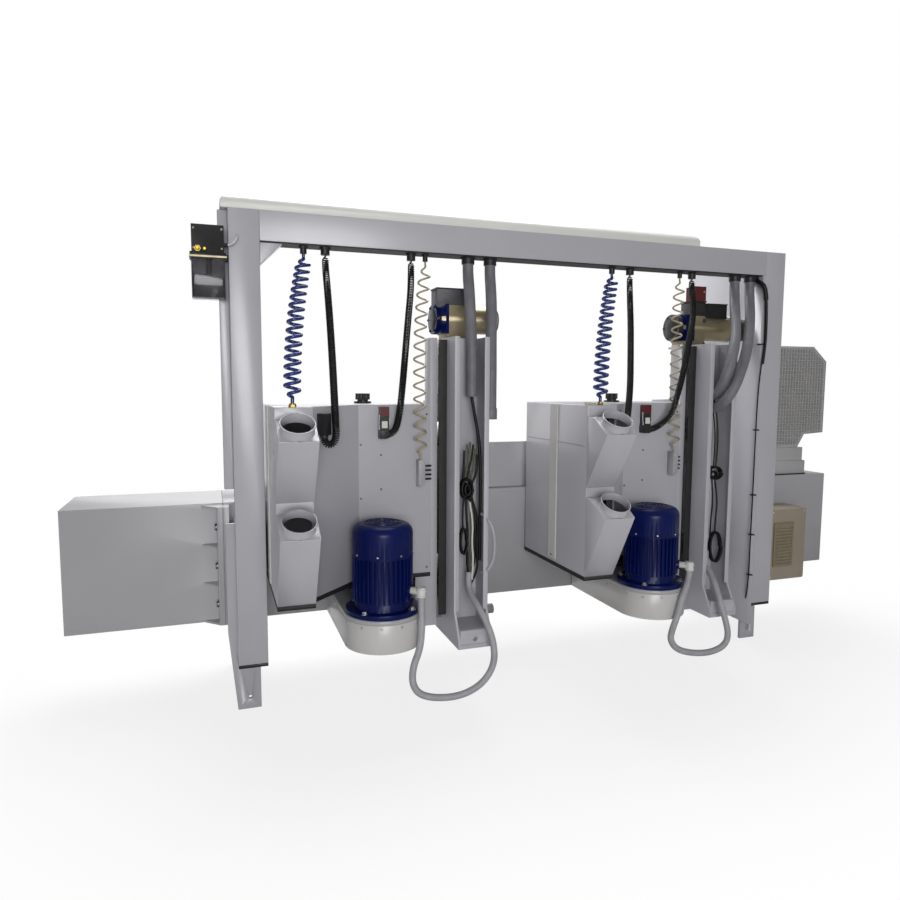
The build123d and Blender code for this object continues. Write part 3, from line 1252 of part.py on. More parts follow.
head_pieces = {
    "z_screw": [make_screw()],
    "slide_plate": [make_slide()],
    "slide_blocks": make_blocks(),
    "head_plate": [make_head_plate()],
    "spindle_housing": [make_housing()],
    "hood": [make_hood()],
    "dust_spouts": make_spouts(),
    "belt_cover": [make_belt_cover()],
    "drive_belt": [make_belt()],
    "motor": [make_motor()],
    "motor_pulley": [make_motor_pulley()],
    "spindle": [make_spindle()],
    "cutter_stack": [make_cutters()],
    "hood_knob": [make_knob()],
    "head_fittings": make_fittings(),
}
for side, unit in UNITS.items():
    for name, pieces in head_pieces.items():
        save(f"{side}_{name}", *[Pos(unit, 0, 0) * piece for piece in pieces])

supply = []
for side, unit in UNITS.items():
    place = Pos(unit, 0, 0)
    exits = EXITS[side]
    for name, route in CONDUITS[side].items():
        supply.append(place * cord(f"{side} {name}", hung(exits[name], route), CONDUIT_R))
    supply.append(place * cord(f"{side} wire", WIRES[side], WIRE_R))
    coils = []
    for name, route in COIL_CORDS[side].items():
        coils.append(place * cord(f"{side} {name}", hung(exits[name], route), COIL_CORD_R))
    save(f"{side}_coil_cords", *coils)
    port = motor_port(HEAD_HALF + MOTOR_CONDUIT_R + 3)
    drop = [(port.X, port.Y, HOOD_BOTTOM - ELBOW_DROP), (port.X, port.Y, HOOD_BOTTOM - ELBOW_DROP - 40)]
    conduit = cord(f"{side} motor conduit", drop + MOTOR_CONDUITS[side], MOTOR_CONDUIT_R)
    save(f"{side}_motor_conduit", place * conduit)
    air = spiral(f"{side} air spiral", spiral_axis(exits["air"], AIR_END, AIR_TUBE_R, (0, 0), 0.55),
                 AIR_TURNS, AIR_COIL_R, AIR_TUBE_R)
    lube = spiral(f"{side} lube spiral", spiral_axis(exits["lube"], LUBE_END, LUBE_TUBE_R, (-35, -20), 0.7),
                  LUBE_TURNS, LUBE_COIL_R, LUBE_TUBE_R)
    save(f"{side}_spiral_hoses", place * air, place * lube)
save("supply_cables", *supply)
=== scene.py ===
"""Tenoning machine with two lifting spindle heads under a cable portal, seen from the rear.

Sizes in the tables are millimetres. A unit's points are measured from its spindle plane along the bed.
"""

import functools
import math

import bmesh
import bpy
from mathutils import Matrix, Vector


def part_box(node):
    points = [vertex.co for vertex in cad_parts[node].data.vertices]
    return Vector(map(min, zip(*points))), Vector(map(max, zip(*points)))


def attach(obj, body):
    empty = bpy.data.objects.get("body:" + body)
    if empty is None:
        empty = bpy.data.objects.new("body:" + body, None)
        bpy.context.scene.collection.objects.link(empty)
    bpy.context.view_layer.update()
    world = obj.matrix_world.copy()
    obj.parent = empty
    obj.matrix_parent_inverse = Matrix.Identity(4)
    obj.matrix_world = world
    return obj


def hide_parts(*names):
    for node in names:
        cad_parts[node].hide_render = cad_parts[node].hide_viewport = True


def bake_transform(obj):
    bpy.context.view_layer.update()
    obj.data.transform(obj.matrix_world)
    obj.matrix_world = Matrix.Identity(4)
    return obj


bl_info = {
    "name": "Tenoning machine",
    "version": (1, 0, 0),
    "blender": (4, 5, 0),
    "location": "View3D > Sidebar > Tenoner",
    "description": "Rebuilds a tenoning machine piece by piece on its measured frame",
    "category": "Add Mesh",
}

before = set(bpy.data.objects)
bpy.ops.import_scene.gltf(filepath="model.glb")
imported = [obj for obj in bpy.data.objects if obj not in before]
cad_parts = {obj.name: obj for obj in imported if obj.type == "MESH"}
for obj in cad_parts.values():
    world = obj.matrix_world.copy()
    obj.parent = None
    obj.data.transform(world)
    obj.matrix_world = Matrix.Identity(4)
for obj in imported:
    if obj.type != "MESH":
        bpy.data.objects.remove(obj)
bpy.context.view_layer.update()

MM = 0.001
SIDES = ("left", "right")
UNIT_X = {side: sum(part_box(f"{side}_spindle"), Vector()).x / 2 for side in SIDES}
UP = (0, 0, 1)
DOWN = (0, 0, -1)
REAR = (0, -1, 0)
FRONT = (0, 1, 0)
LEFT = (-1, 0, 0)
RIGHT = (1, 0, 0)

# portal; the cables of the right post by number of points, shift and radius
COVER_FOOT = 2455
ELBOW_TOP = 1560
ELBOW_FRONT = -340
# black plate under the beam: painted shade of the beam's unlit underside
BEAM_UNDERSIDE_SHADE = ((-1437, -187, 2309), (1505, -73, 2315))
POST_GLAND = (1480, -150, 2276)
POST_CABLE = [
    (1480, -150, 2312), (1480, -150, 2284), (1490, -196, 2262), (1508, -205, 2225), (1514, -205, 2166),
    (1522, -204, 2040), (1524, -204, 1900), (1510, -202, 1780), (1498, -196, 1600), (1497, -194, 1250),
    (1497, -194, 950), (1494, -194, 700), (1496, -192, 460), (1498, -178, 330), (1510, -160, 300)]
POST_BUNDLE = ((len(POST_CABLE), 0, 4), (8, 8, 8), (5, 6, 13))
POST_TIES = ((1494, -190, 1900), (1496, -186, 1377), (1497, -186, 972), (1494, -190, 722), (1496, -187, 465))

# lubrication pump
PUMP_FACE = -232
PUMP_FLANGE = ((-1749, -243, 2214), (-1587, -137, 2223))
GREASE_FILL = ((-1736, -230, 2040), (-1600, -150, 2118))
FOLLOWER_PLATE = ((-1733, -227, 2126), (-1603, -153, 2136))
FOLLOWER_ROD = (-1668, -190, 2124)
GREASE_UNION = (-1712, PUMP_FACE, 2252)
BLEED_PLUG = (-1682, PUMP_FACE, 2252)
PUMP_PIPE = [
    (-1592, -210, 2278), (-1572, -214, 2279), (-1548, -222, 2296), (-1540, -216, 2322), (-1540, -190, 2330)]
PUMP_SCREWS = [(x, PUMP_FACE, z) for x in (-1728, -1608) for z in (2256, 2342)]

# cabinet and end guard
CABINET_FACE = -90
CABINET_SCREWS = [(x, CABINET_FACE, z) for x in (1770, 2026) for z in (394, 826)]
GUARD_GASKET = ((1869, 108, 1040), (2223, 512, 1047))
WIRE_RELIEF = 3

# rails and lead screws; the plugs of the column rails by the rails' place
BED_RAIL_TOP = 1070
BED_RAILS = (195, 440)
BED_PLUGS = range(-1460, 1800, 120)
RAIL_FACE = 341
COLUMN_PLUGS = {-230: range(490, 1840, 90), 20: range(490, 1520, 90)}
SCREW_AXIS = (490, -80, 510)
SCREW_RADIUS = 16
SCREW_TURNS = 66
SCREW_LEAD = 20

# wiring in the column channels: coils by centre, half sizes, turns, radius; wires by finish, radius, route
WIRE_COILS = {
    "left": (
        ((445, -372, 1130), 28, 50, 5, 6),
        ((443, -380, 1128), 13, 26, 5, 6),
        ((433, -378, 864), 17, 64, 3, 6),
    ),
    "right": (
        ((462, -372, 1153), 44, 34, 4, 5),
        ((452, -380, 1146), 22, 16, 3, 5),
        ((486, -378, 722), 38, 86, 3, 6),
    ),
}
CHANNEL_WIRES = {
    "left": (
        ("black", 6, [(462, -385, 1085), (488, -388, 1040), (500, -390, 960), (494, -386, 840),
                      (500, -384, 740), (470, -376, 690)]),
        ("black", 6, [(472, -390, 1090), (500, -392, 1010), (512, -392, 920), (508, -388, 800),
                      (512, -386, 700), (480, -378, 640)]),
        ("green", 4, [(452, -382, 1350), (460, -386, 1210), (474, -388, 1180), (482, -388, 1040),
                      (486, -386, 900), (474, -380, 700)]),
        ("green", 5, [(470, -380, 1362), (462, -386, 1290), (448, -388, 1230), (440, -384, 1172)]),
        ("black", 5, [(486, -380, 1350), (476, -388, 1280), (456, -390, 1215), (452, -386, 1170)]),
        ("green", 5, [(496, -380, 1330), (492, -388, 1260), (476, -392, 1200), (462, -388, 1160)]),
        ("black", 6, [(440, -378, 1320), (436, -384, 1260), (432, -386, 1210), (428, -382, 1160)]),
        ("black", 6, [(506, -382, 1300), (504, -388, 1230), (490, -390, 1180), (470, -388, 1140)]),
        ("black", 5, [(440, -376, 1075), (428, -380, 1010), (432, -384, 930)]),
        ("black", 6, [(450, -384, 1090), (446, -388, 1000), (458, -390, 900), (450, -388, 800),
                      (462, -382, 690)]),
        ("green", 5, [(478, -386, 1096), (470, -390, 1000), (478, -392, 880), (466, -388, 780),
                      (476, -380, 650)]),
        ("white", 5, [(466, -388, 1060), (484, -394, 960), (476, -394, 860), (488, -392, 760),
                      (482, -384, 660)]),
        ("grey", 9, [(528, -400, 1000), (541, -440, 985), (566, -462, 930), (574, -464, 846),
                     (566, -462, 765), (541, -440, 712), (528, -400, 700)]),
    ),
    "right": (
        ("black", 4, [(430, -345, 1790), (436, -365, 1600), (452, -380, 1480), (466, -386, 1330),
                      (458, -384, 1190)]),
        ("black", 4, [(446, -345, 1790), (452, -370, 1600), (472, -384, 1480), (484, -388, 1300),
                      (474, -384, 1185)]),
        ("green", 3, [(438, -345, 1790), (442, -368, 1600), (462, -384, 1500), (474, -390, 1310),
                      (466, -386, 1190)]),
        ("black", 5, [(470, -384, 1122), (492, -388, 1010), (486, -388, 900), (484, -386, 806)]),
        ("black", 5, [(452, -384, 1122), (462, -388, 1000), (452, -388, 880), (456, -382, 780)]),
    ),
}

# gear motors
GEAR_AXIS = (-80, 1990)
GEAR_NOSE = 364
GEAR_JOINT = 419
GEAR_TOP = 2062
BARREL_TIP = {"left": 710, "right": 783}
SLEEVE_END = {"left": 434, "right": 478}
LID_START = {"left": 371, "right": 466}
LID_END = 574
LID_TOP = 2150
RED_BLOCK = ((495, -124, LID_TOP), (LID_END, -40, 2236))
TERMINAL_BOX = ((596, -118, 2050), (736, -42, 2134))
TERMINAL_LID = ((593, -121, 2134), (739, -39, 2140))

# hood sheet metal
HOOD_LEFT = -502
HOOD_WALL = -290
HOOD_TOP = 1550
BATTEN = ((HOOD_LEFT - 6, -316, 708), (HOOD_LEFT, -235, HOOD_TOP - 3))
BATTEN_SCREW = (HOOD_LEFT - 6, -275, 728)
HOOD_SEAM = ((HOOD_LEFT - 2, -600, 1348), (HOOD_LEFT, 55, 1354))
SPOUT_X = -419.5
SPOUT_REAR = -820
MOUTHS = (1089, 1490)
LEAN = math.radians(58)
WALL_SCREWS = {
    "left": ((35, 1301), (35, 1132), (-66, 1354), (-66, 1089), (270, 1500), (270, 720)),
    "right": ((50, 1285), (50, 1115), (-66, 1354), (-66, 1089), (270, 1500), (270, 720)),
}

# fittings on the hood and on the motor
CONNECTOR_CAP = ((23, -333, 1492), (67, -289, 1540))
CONNECTOR_BODY = ((23, -332, 1423), (67, -289, 1490))
CONNECTOR_WINDOW = ((30, -335, 1436), (58, -331, 1470))
CONNECTOR_CLIPS = (
    [(22, -318, 1500), (19, -322, 1470), (19, -330, 1428)],
    [(68, -318, 1500), (71, -322, 1470), (71, -330, 1428)],
)
CORD_SOCKET = (50, -334, 1404)
CORD_PLUG = (-276, -517, 1424)
DISTRIBUTOR_X = (205, 247)
DISTRIBUTOR_Z = (1130, 1280)
OIL_OUTLETS = [(246, -302, 1175 + 22 * i) for i in range(4)]
DISTRIBUTOR_SCREWS = ((224, -345, 1160), (224, -345, 1255))
OIL_LOOP = (-478, -600, 1556)
PORT = (150.9, -595.8)
PORT_TOP = 711
SEAL_TOP = 691

# motors and belt covers
MOTOR_AXIS = (0, -460)
MOTOR_TOP = 1000
FAN_SEAM = 850
FLANGE_TOP = 602
FLANGE_BOLTS = 158
COVER_HALF = 183
COVER_SCREWS = 545

# work carriage
SKIRT = ((-480, 157, 1044), (520, 160, 1312))
SKIRT_SCREWS = [(x, 157, z) for x in range(-440, 500, 110) for z in (1290, 1075)]
HANDLE_ROOT = (-400, 656, 1300)
CLAMP_BOLTS = [(x, y, 1530) for x in (380, 420) for y in (565, 605)]
CLAMP_PORTS = [(400, 614, z) for z in (1462, 1516)]

# cord routes
GLAND_Y = -140
GLAND_Z = 2274
DROP = 50
EXITS = {
    "left": {"air": -308, "coil_a": -203, "coil_b": 232, "lube": 307, "conduit_a": 541, "conduit_b": 665},
    "right": {"air": -88, "coil_a": 30, "coil_b": 454, "lube": 369, "conduit_a": 766, "conduit_b": 879},
}
CONDUITS = {
    "left": {
        "conduit_a": [
            (531, -185, 2150), (505, -270, 2040), (483, -345, 1920), (479, -370, 1790), (478, -372, 1680),
            (479, -371, 1590)],
        "conduit_b": [
            (655, -180, 2150), (636, -240, 2030), (610, -300, 1880), (591, -350, 1740), (582, -372, 1630),
            (582, -372, 1530)],
    },
    "right": {
        "conduit_a": [
            (735, -182, 2150), (665, -272, 2060), (572, -385, 1975), (482, -490, 1880), (434, -515, 1770),
            (414, -500, 1680), (422, -448, 1615), (424, -385, 1585), (424, -303, 1585)],
        "conduit_b": [
            (862, -165, 2150), (790, -255, 2040), (690, -360, 1920), (585, -460, 1815), (495, -522, 1715),
            (448, -540, 1640), (426, -510, 1575), (426, -450, 1535), (430, -380, 1516), (430, -303, 1516)],
    },
}
WIRES = {
    "left": [(479, -371, 1590), (495, -374, 1497), (515, -378, 1387), (525, -380, 1270), (525, -382, 1041),
             (525, -382, 757)],
    "right": [(424, -340, 1790), (424, -340, 1760), (404, -346, 1730), (398, -350, 1690), (402, -352, 1650),
              (416, -350, 1622)],
}
COIL_CORDS = {
    "left": {
        "coil_a": [
            (-200, -172, 2120), (-202, -245, 1970), (-208, -335, 1800), (-217, -430, 1640),
            (-224, -500, 1510), (-222, -525, 1385), (-276, -517, 1375), (-276, -517, 1422)],
        "coil_b": [
            (222, -170, 2120), (196, -215, 1980), (166, -270, 1810), (138, -318, 1640), (116, -342, 1500),
            (92, -334, 1404), (50, -334, 1404)],
    },
    "right": {
        "coil_a": [
            (10, -180, 2120), (-40, -270, 1970), (-92, -355, 1810), (-145, -440, 1640), (-198, -505, 1500),
            (-218, -525, 1385), (-276, -517, 1375), (-276, -517, 1422)],
        "coil_b": [
            (440, -180, 2130), (395, -238, 2025), (326, -310, 1935), (280, -346, 1830), (238, -372, 1710),
            (198, -382, 1590), (165, -376, 1480), (92, -334, 1404), (50, -334, 1404)],
    },
}
MOTOR_CONDUITS = {
    "left": [(*PORT, 665), (*PORT, 625), (152, -602, 540), (142, -612, 428), (106, -606, 335),
             (104, -606, 250), (147, -606, 191), (261, -606, 163), (372, -606, 168), (465, -604, 213),
             (521, -600, 295), (521, -592, 392), (498, -562, 485), (472, -505, 555), (462, -430, 592),
             (464, -378, 630), (468, -376, 700)],
    "right": [(*PORT, 665), (*PORT, 625), (64, -662, 552), (24, -674, 450), (12, -650, 368), (14, -635, 309),
              (63, -632, 248), (183, -628, 212), (299, -624, 204), (389, -618, 230), (418, -608, 285),
              (404, -592, 372), (385, -575, 450), (394, -520, 535), (415, -440, 590), (430, -380, 625),
              (440, -374, 700)],
}
AIR_END = (-422, -600, 1566)
LUBE_END = (230, -328, 1275)

# spiral hoses by end, turns, lean of the lower end and share of the drop where the lean begins
SPIRALS = {"air": (AIR_END, 17, (0, 0), 0.55), "lube": (LUBE_END, 15, (-35, -20), 0.7)}


def linear(code):
    """Linear colour of an sRGB hex code."""
    parts = [int(code[i:i + 2], 16) / 255 for i in (1, 3, 5)]
    return [p / 12.92 if p <= 0.04045 else ((p + 0.055) / 1.055) ** 2.4 for p in parts]


def size(name, what, millimetres):
    """Length property."""
    return bpy.props.FloatProperty(name=name, description=what, default=millimetres * MM, min=0.0,
                                   precision=4, unit="LENGTH")


def colour(name, what, code):
    """Colour property."""
    return bpy.props.FloatVectorProperty(name=name, description=what, default=linear(code), min=0.0, max=1.0,
                                         subtype="COLOR")


class TenonerSizes(bpy.types.PropertyGroup):
    """Sizes of the pieces that are built here."""
    edge: size("Edge", "Rounding of sheet and plate edges", 2.5)
    collar: size("Collar radius", "Outer radius of the dust collars", 70)
    motor: size("Motor radius", "Radius over the motor fins", 144)
    conduit: size("Conduit radius", "Outer radius of the supply conduits", 29)
    motor_conduit: size("Motor conduit radius", "Outer radius of the motor conduits", 17)
    rib_pitch: size("Conduit rib pitch", "Distance of the conduit ribs", 9)
    wire: size("Cable radius", "Radius of the black cables", 8)
    cord: size("Coiled cord radius", "Radius of the wire of the coiled cords", 3.25)
    cord_coil: size("Cord coil radius", "Mean coil radius of the coiled cords", 14.5)
    air: size("Air hose radius", "Radius of the air hose", 8)
    air_coil: size("Air coil radius", "Mean coil radius of the air hose", 31)
    lube: size("Oil tube radius", "Radius of the oil tube", 5)
    lube_coil: size("Oil coil radius", "Mean coil radius of the oil tube", 28)


class TenonerColours(bpy.types.PropertyGroup):
    """Colours of the finishes."""
    machine: colour("Machine grey", "Gloss enamel of hoods, posts and columns", "#b6b5bb")
    bed: colour("Bed grey", "Gloss enamel of the bed", "#aaaaad")
    warm: colour("Warm grey", "Enamel of the belt covers", "#c9c7c4")
    guard: colour("Guard grey", "Enamel of the mesh guard and its box", "#a9a9a9")
    white: colour("White", "Polyamide of the small light fittings", "#d6d5d0")
    beige: colour("Beige", "Powder coat of the cabinet", "#998e7d")
    blue: colour("Motor blue", "Gloss enamel of the motors", "#05134e")
    hose_blue: colour("Hose blue", "Polyurethane of the air hoses", "#1a2f74")
    oil_tube: colour("Oil tube", "Polyamide of the oil tubes", "#ada184")
    conduit: colour("Conduit grey", "Polyamide of the motor conduits", "#a8a7ab")
    # supply grey: the conduit grey darkened as painted shade
    supply: colour("Supply grey", "Polyamide of the supply conduits", "#747378")
    red: colour("Red", "Polyamide of the small red caps", "#561014")
    # cream: the covers' own pale plastic, made paler as painted light on the lit top
    cream: colour("Cream", "Polyvinyl of the cable covers", "#e8e7e2")
    grille: colour("Grille brown", "Polyamide of the air grille", "#857b63")


def sizes():
    """Sizes set in the scene."""
    return bpy.context.scene.tenoner_sizes


def colours():
    """Colours set in the scene."""
    return bpy.context.scene.tenoner_colours


def add_node(tree, kind, inputs=None, stops=None, **settings):
    """Shader node; an input takes a value or another node's output, stops are a ramp's places and colours."""
    node = tree.nodes.new("ShaderNode" + kind)
    for name, value in settings.items():
        setattr(node, name, value)
    for name, value in (inputs or {}).items():
        if isinstance(value, bpy.types.NodeSocket):
            tree.links.new(value, node.inputs[name])
        else:
            node.inputs[name].default_value = value
    if stops:
        ramp = node.color_ramp.elements
        for element, (place, tint) in zip((ramp[0], ramp[1]), stops):
            element.position = place
            element.color = (*tint, 1)
    return node


def new_material(name):
    """Material with an empty node tree."""
    made = bpy.data.materials.new(name)
    made.use_nodes = True
    made.node_tree.nodes.clear()
    return made, made.node_tree


def shade(tint, factor):
    """Colour made lighter or darker."""
    return [min(1.0, part * factor) for part in tint]


def finish(name, tint, rough, metal=0.0, coat=0.0, patch=300, vary=0.06, grain=2.5, relief=0.05,
           stretch=(1, 1, 1), rough_vary=0.06, coat_rough=0.22, **extra):
    """Principled material whose colour drifts over patches and whose skin has a fine grain, in mm."""
    made, tree = new_material(name)
    place = add_node(tree, "TexCoord").outputs["Object"]
    drawn = add_node(tree, "Mapping", {"Vector": place, "Scale": stretch}).outputs["Vector"]
    drift = add_node(tree, "TexNoise", {"Vector": place, "Scale": 1 / (patch * MM), "Detail": 4.0})
    tone = add_node(tree, "ValToRGB", {"Fac": drift.outputs["Fac"]},
                    stops=((0.3, shade(tint, 1 - vary)), (0.7, shade(tint, 1 + vary))))
    smudge = add_node(tree, "TexNoise", {"Vector": drawn, "Scale": 4 / (patch * MM), "Detail": 6.0})
    dull = add_node(tree, "MapRange", {"Value": smudge.outputs["Fac"], "From Min": 0.3, "From Max": 0.7,
                                       "To Min": max(0.02, rough - rough_vary), "To Max": rough + rough_vary})
    skin = add_node(tree, "TexNoise", {"Vector": drawn, "Scale": 1 / (grain * MM), "Detail": 2.0})
    bump = add_node(tree, "Bump", {"Height": skin.outputs["Fac"], "Strength": relief,
                                   "Distance": 0.2 * grain * MM})
    values = {"Base Color": tone.outputs["Color"], "Roughness": dull.outputs["Result"], "Metallic": metal,
              "Coat Weight": coat, "Coat Roughness": coat_rough, "Normal": bump.outputs["Normal"], **extra}
    shader = add_node(tree, "BsdfPrincipled", values)
    add_node(tree, "OutputMaterial", {"Surface": shader.outputs["BSDF"]})
    return made


@functools.cache
def grey_enamel():
    """Glossy light grey with a faint lilac cast and a gentle orange peel that breaks up the glare."""
    return finish("Grey gloss enamel", colours().machine, 0.3, coat=0.35, vary=0.02, rough_vary=0.02,
                  grain=4, relief=0.1)


@functools.cache
def column_enamel():
    """The hoods' grey, worn to a satin where the cables rub."""
    return finish("Grey satin enamel", colours().machine, 0.42, vary=0.03, rough_vary=0.04,
                  grain=4, relief=0.1)


@functools.cache
def bed_enamel():
    """Neutral grey, a little darker and duller than the hoods."""
    return finish("Bed gloss enamel", colours().bed, 0.34, coat=0.25, patch=500, vary=0.025, rough_vary=0.02,
                  grain=4, relief=0.1)


@functools.cache
def warm_enamel():
    """Warm light grey, satin."""
    return finish("Warm satin enamel", colours().warm, 0.34, coat=0.25, vary=0.02, rough_vary=0.02,
                  grain=3, relief=0.1)


@functools.cache
def guard_enamel():
    """Plain mid grey satin enamel, slightly soiled in patches."""
    return finish("Mid grey satin enamel", colours().guard, 0.36, coat=0.2, vary=0.04)


@functools.cache
def guard_shade_sheet():
    """Dark grey sheet behind the wires of the guard, uneven: painted shade of the guard's inside seen through
    the mesh.
    """
    return finish("Dark grey painted shade sheet", linear("#8b8886"), 0.5, patch=120, vary=0.12)


@functools.cache
def beige_powder_coat():
    """Matt beige with a fine even texture."""
    return finish("Beige powder coat", colours().beige, 0.55, grain=1.5, relief=0.25)


@functools.cache
def blue_enamel():
    """Deep royal blue, wet gloss, with soft streaks of light between the fins."""
    return finish("Blue gloss enamel", colours().blue, 0.32, coat=0.06, vary=0.12, grain=3, relief=0.08,
                  **{"Specular IOR Level": 0.16})


@functools.cache
def zinc_steel():
    """Bright zinc-plated steel, cool grey with cloudy patches."""
    return finish("Zinc-plated steel", linear("#c3c4c4"), 0.34, metal=1.0, patch=20, vary=0.1, grain=1)


@functools.cache
def ground_steel():
    """Ground steel with fine lines along its length."""
    return finish("Ground steel", linear("#c9c9c8"), 0.24, metal=1.0, patch=60, grain=1, relief=0.1,
                  stretch=(1, 1, 0.05))


@functools.cache
def tool_steel():
    """Dark oiled tool steel."""
    return finish("Tool steel", linear("#77787b"), 0.38, metal=1.0, patch=40, vary=0.12, grain=1.2)


@functools.cache
def cast_iron():
    """Dull dark grey casting skin with a coarse grain."""
    return finish("Cast iron", linear("#5b5b5e"), 0.55, metal=0.7, patch=60, vary=0.12, grain=3, relief=0.3)


@functools.cache
def cast_aluminium():
    """Brownish gold casting skin, dull and sandy."""
    return finish("Cast aluminium", linear("#a1967a"), 0.42, metal=0.85, patch=50, vary=0.1,
                  grain=2, relief=0.25)


@functools.cache
def brass():
    """Dulled yellow brass."""
    return finish("Brass", linear("#b09a48"), 0.36, metal=1.0, patch=15, vary=0.12, grain=1)


@functools.cache
def black_polyamide():
    """Black moulded plastic with a fine spark-eroded grain."""
    return finish("Black polyamide", linear("#1b1b1d"), 0.42, patch=40, vary=0.15, grain=1, relief=0.2)


@functools.cache
def rubber():
    """Soft black rubber, greyish where it catches light."""
    return finish("Black rubber", linear("#1d1d1f"), 0.62, patch=60, vary=0.2, grain=1.5, relief=0.2)


@functools.cache
def cable_jacket():
    """Smooth black cable jacket with a low sheen."""
    return finish("Black polyurethane jacket", linear("#0b0b0c"), 0.46, patch=30, vary=0.2, grain=1.5,
                  **{"Specular IOR Level": 0.3})


@functools.cache
def hose_polyurethane():
    """Navy blue hose, slightly see-through at its edge, smooth and shiny."""
    return finish("Blue polyurethane hose", colours().hose_blue, 0.25, coat=0.3, patch=80, vary=0.12, grain=2)


@functools.cache
def oil_polyamide():
    """Yellowed beige plastic tube."""
    return finish("Beige polyamide tube", colours().oil_tube, 0.36, patch=60, vary=0.1, grain=2)


@functools.cache
def conduit_polyamide():
    """Mid grey plastic conduit, satin, dust between its ribs."""
    return finish("Grey polyamide conduit", colours().conduit, 0.42, patch=60, vary=0.1, grain=1.5)


@functools.cache
def shaded_conduit_polyamide():
    """Grey plastic of the thick supply conduits, satin, made darker as painted shade."""
    return finish("Shade-darkened grey polyamide conduit", colours().supply, 0.46, patch=60, vary=0.1, grain=1.5)


@functools.cache
def cream_lit_polyvinyl():
    """Cream extruded plastic, even and satin; its pale tone is partly the covers' own colour and partly
    painted light on the lit beam top.
    """
    return finish("Cream polyvinyl with painted light", colours().cream, 0.4, vary=0.04, grain=2)


@functools.cache
def grille_polyamide():
    """Brownish dark plastic of the air grille."""
    return finish("Brown polyamide grille", colours().grille, 0.5, patch=40, vary=0.1, grain=1)


@functools.cache
def white_polyamide():
    """Off-white moulded plastic of small fittings, satin."""
    return finish("White polyamide", colours().white, 0.42, patch=30, vary=0.04, grain=1)


@functools.cache
def earth_wire():
    """Dull greenish brown of thin stranded wires in the channels."""
    return finish("Green polyvinyl wire", linear("#4d5136"), 0.42, patch=25, vary=0.2, grain=1.5)


@functools.cache
def red_polyamide():
    """Dark red moulded plastic."""
    return finish("Red polyamide", colours().red, 0.38, patch=20, vary=0.1, grain=1)


@functools.cache
def clear_polycarbonate():
    """Smoky clear bowl with a smeared inner wall."""
    return finish("Clear polycarbonate", linear("#8f8d92"), 0.12, patch=30, vary=0.03, rough_vary=0.05,
                  grain=5, **{"Transmission Weight": 0.92, "IOR": 1.45})


@functools.cache
def grease():
    """Dark reddish grease seen through the bowl."""
    return finish("Red grease", linear("#57322c"), 0.3, patch=25, vary=0.25, grain=8, relief=0.4)


class Shape:
    """Mesh put together from simple forms, each with its finish, in millimetres from an origin in metres."""

    def __init__(self, origin=(0, 0, 0)):
        self.origin = Vector(origin)
        self.points = []
        self.faces = []
        self.finishes = []

    def add(self, points, faces, made=None):
        """Add faces over points."""
        base = len(self.points)
        self.points += [self.origin + Vector(p) * MM for p in points]
        self.faces += [[base + i for i in face] for face in faces]
        self.finishes += [made] * len(faces)

    def loft(self, rings, made=None, closed=False):
        """Skin over rings of equal count, with end faces unless it runs round."""
        count = len(rings[0])
        last = len(rings) if closed else len(rings) - 1
        faces = []
        for a in range(last):
            b = (a + 1) % len(rings)
            for i in range(count):
                j = (i + 1) % count
                faces.append((a * count + i, a * count + j, b * count + j, b * count + i))
        if not closed:
            faces.append(tuple(range(count))[::-1])
            faces.append(tuple(range((len(rings) - 1) * count, len(rings) * count)))
        self.add([p for ring in rings for p in ring], faces, made)

    def block(self, low, high, made=None):
        """Box between two corners."""
        corners = ((low[0], low[1]), (high[0], low[1]), (high[0], high[1]), (low[0], high[1]))
        self.loft([[(x, y, z) for x, y in corners] for z in (low[2], high[2])], made)

    def turned(self, profile, centre, axis=UP, made=None, sides=40, ring=False):
        """Round form from radius and height pairs along an axis; a ring's profile closes on itself."""
        turn = Vector(axis).to_track_quat("Z", "Y")
        rings = []
        for radius, height in profile:
            steps = [2 * math.pi * i / sides for i in range(sides)]
            rings.append([Vector(centre) + turn @ Vector((radius * math.cos(a), radius * math.sin(a), height))
                          for a in steps])
        self.loft(rings, made, closed=ring)

    def tube(self, line, radius, made=None, sides=12):
        """Round tube along a line of points; the radius may be a list."""
        self.loft(tube_rings(line, radius, sides), made)

    def bolt(self, place, axis, across, made=None):
        """Hexagon bolt head with a chamfer, on a washer."""
        self.turned([(across * 0.95, 0), (across * 0.95, across * 0.1), (across * 0.5, across * 0.1)],
                    place, axis, made, sides=20)
        corner = across / math.sqrt(3)
        self.turned([(corner, across * 0.1), (corner, across * 0.6), (corner * 0.84, across * 0.7)],
                    place, axis, made, sides=6)

    def screw(self, place, axis, radius, made=None):
        """Round screw head with a domed top and a socket."""
        head = ((1, 0), (1, 0.35), (0.8, 0.6), (0.45, 0.65), (0.4, 0.35), (0.1, 0.3))
        self.turned([(radius * out, radius * high) for out, high in head], place, axis, made, sides=16)

    def build(self, name, finishes, body=None, stands_for=(), edge=0.0, sharp=35):
        """Object made from the mesh, riding on a body; forms without a finish of their own take the first."""
        mesh = bpy.data.meshes.new(name)
        mesh.from_pydata(self.points, [], self.faces)
        mesh.polygons.foreach_set("material_index", [finishes.index(f or finishes[0]) for f in self.finishes])
        work = bmesh.new()
        work.from_mesh(mesh)
        bmesh.ops.recalc_face_normals(work, faces=work.faces)
        work.to_mesh(mesh)
        work.free()
        for made in finishes:
            mesh.materials.append(made())
        piece = bpy.data.objects.new(name, mesh)
        bpy.context.scene.collection.objects.link(piece)
        soften(piece, edge, sharp)
        if body:
            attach(piece, body)
        if stands_for:
            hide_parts(*stands_for)
        return piece


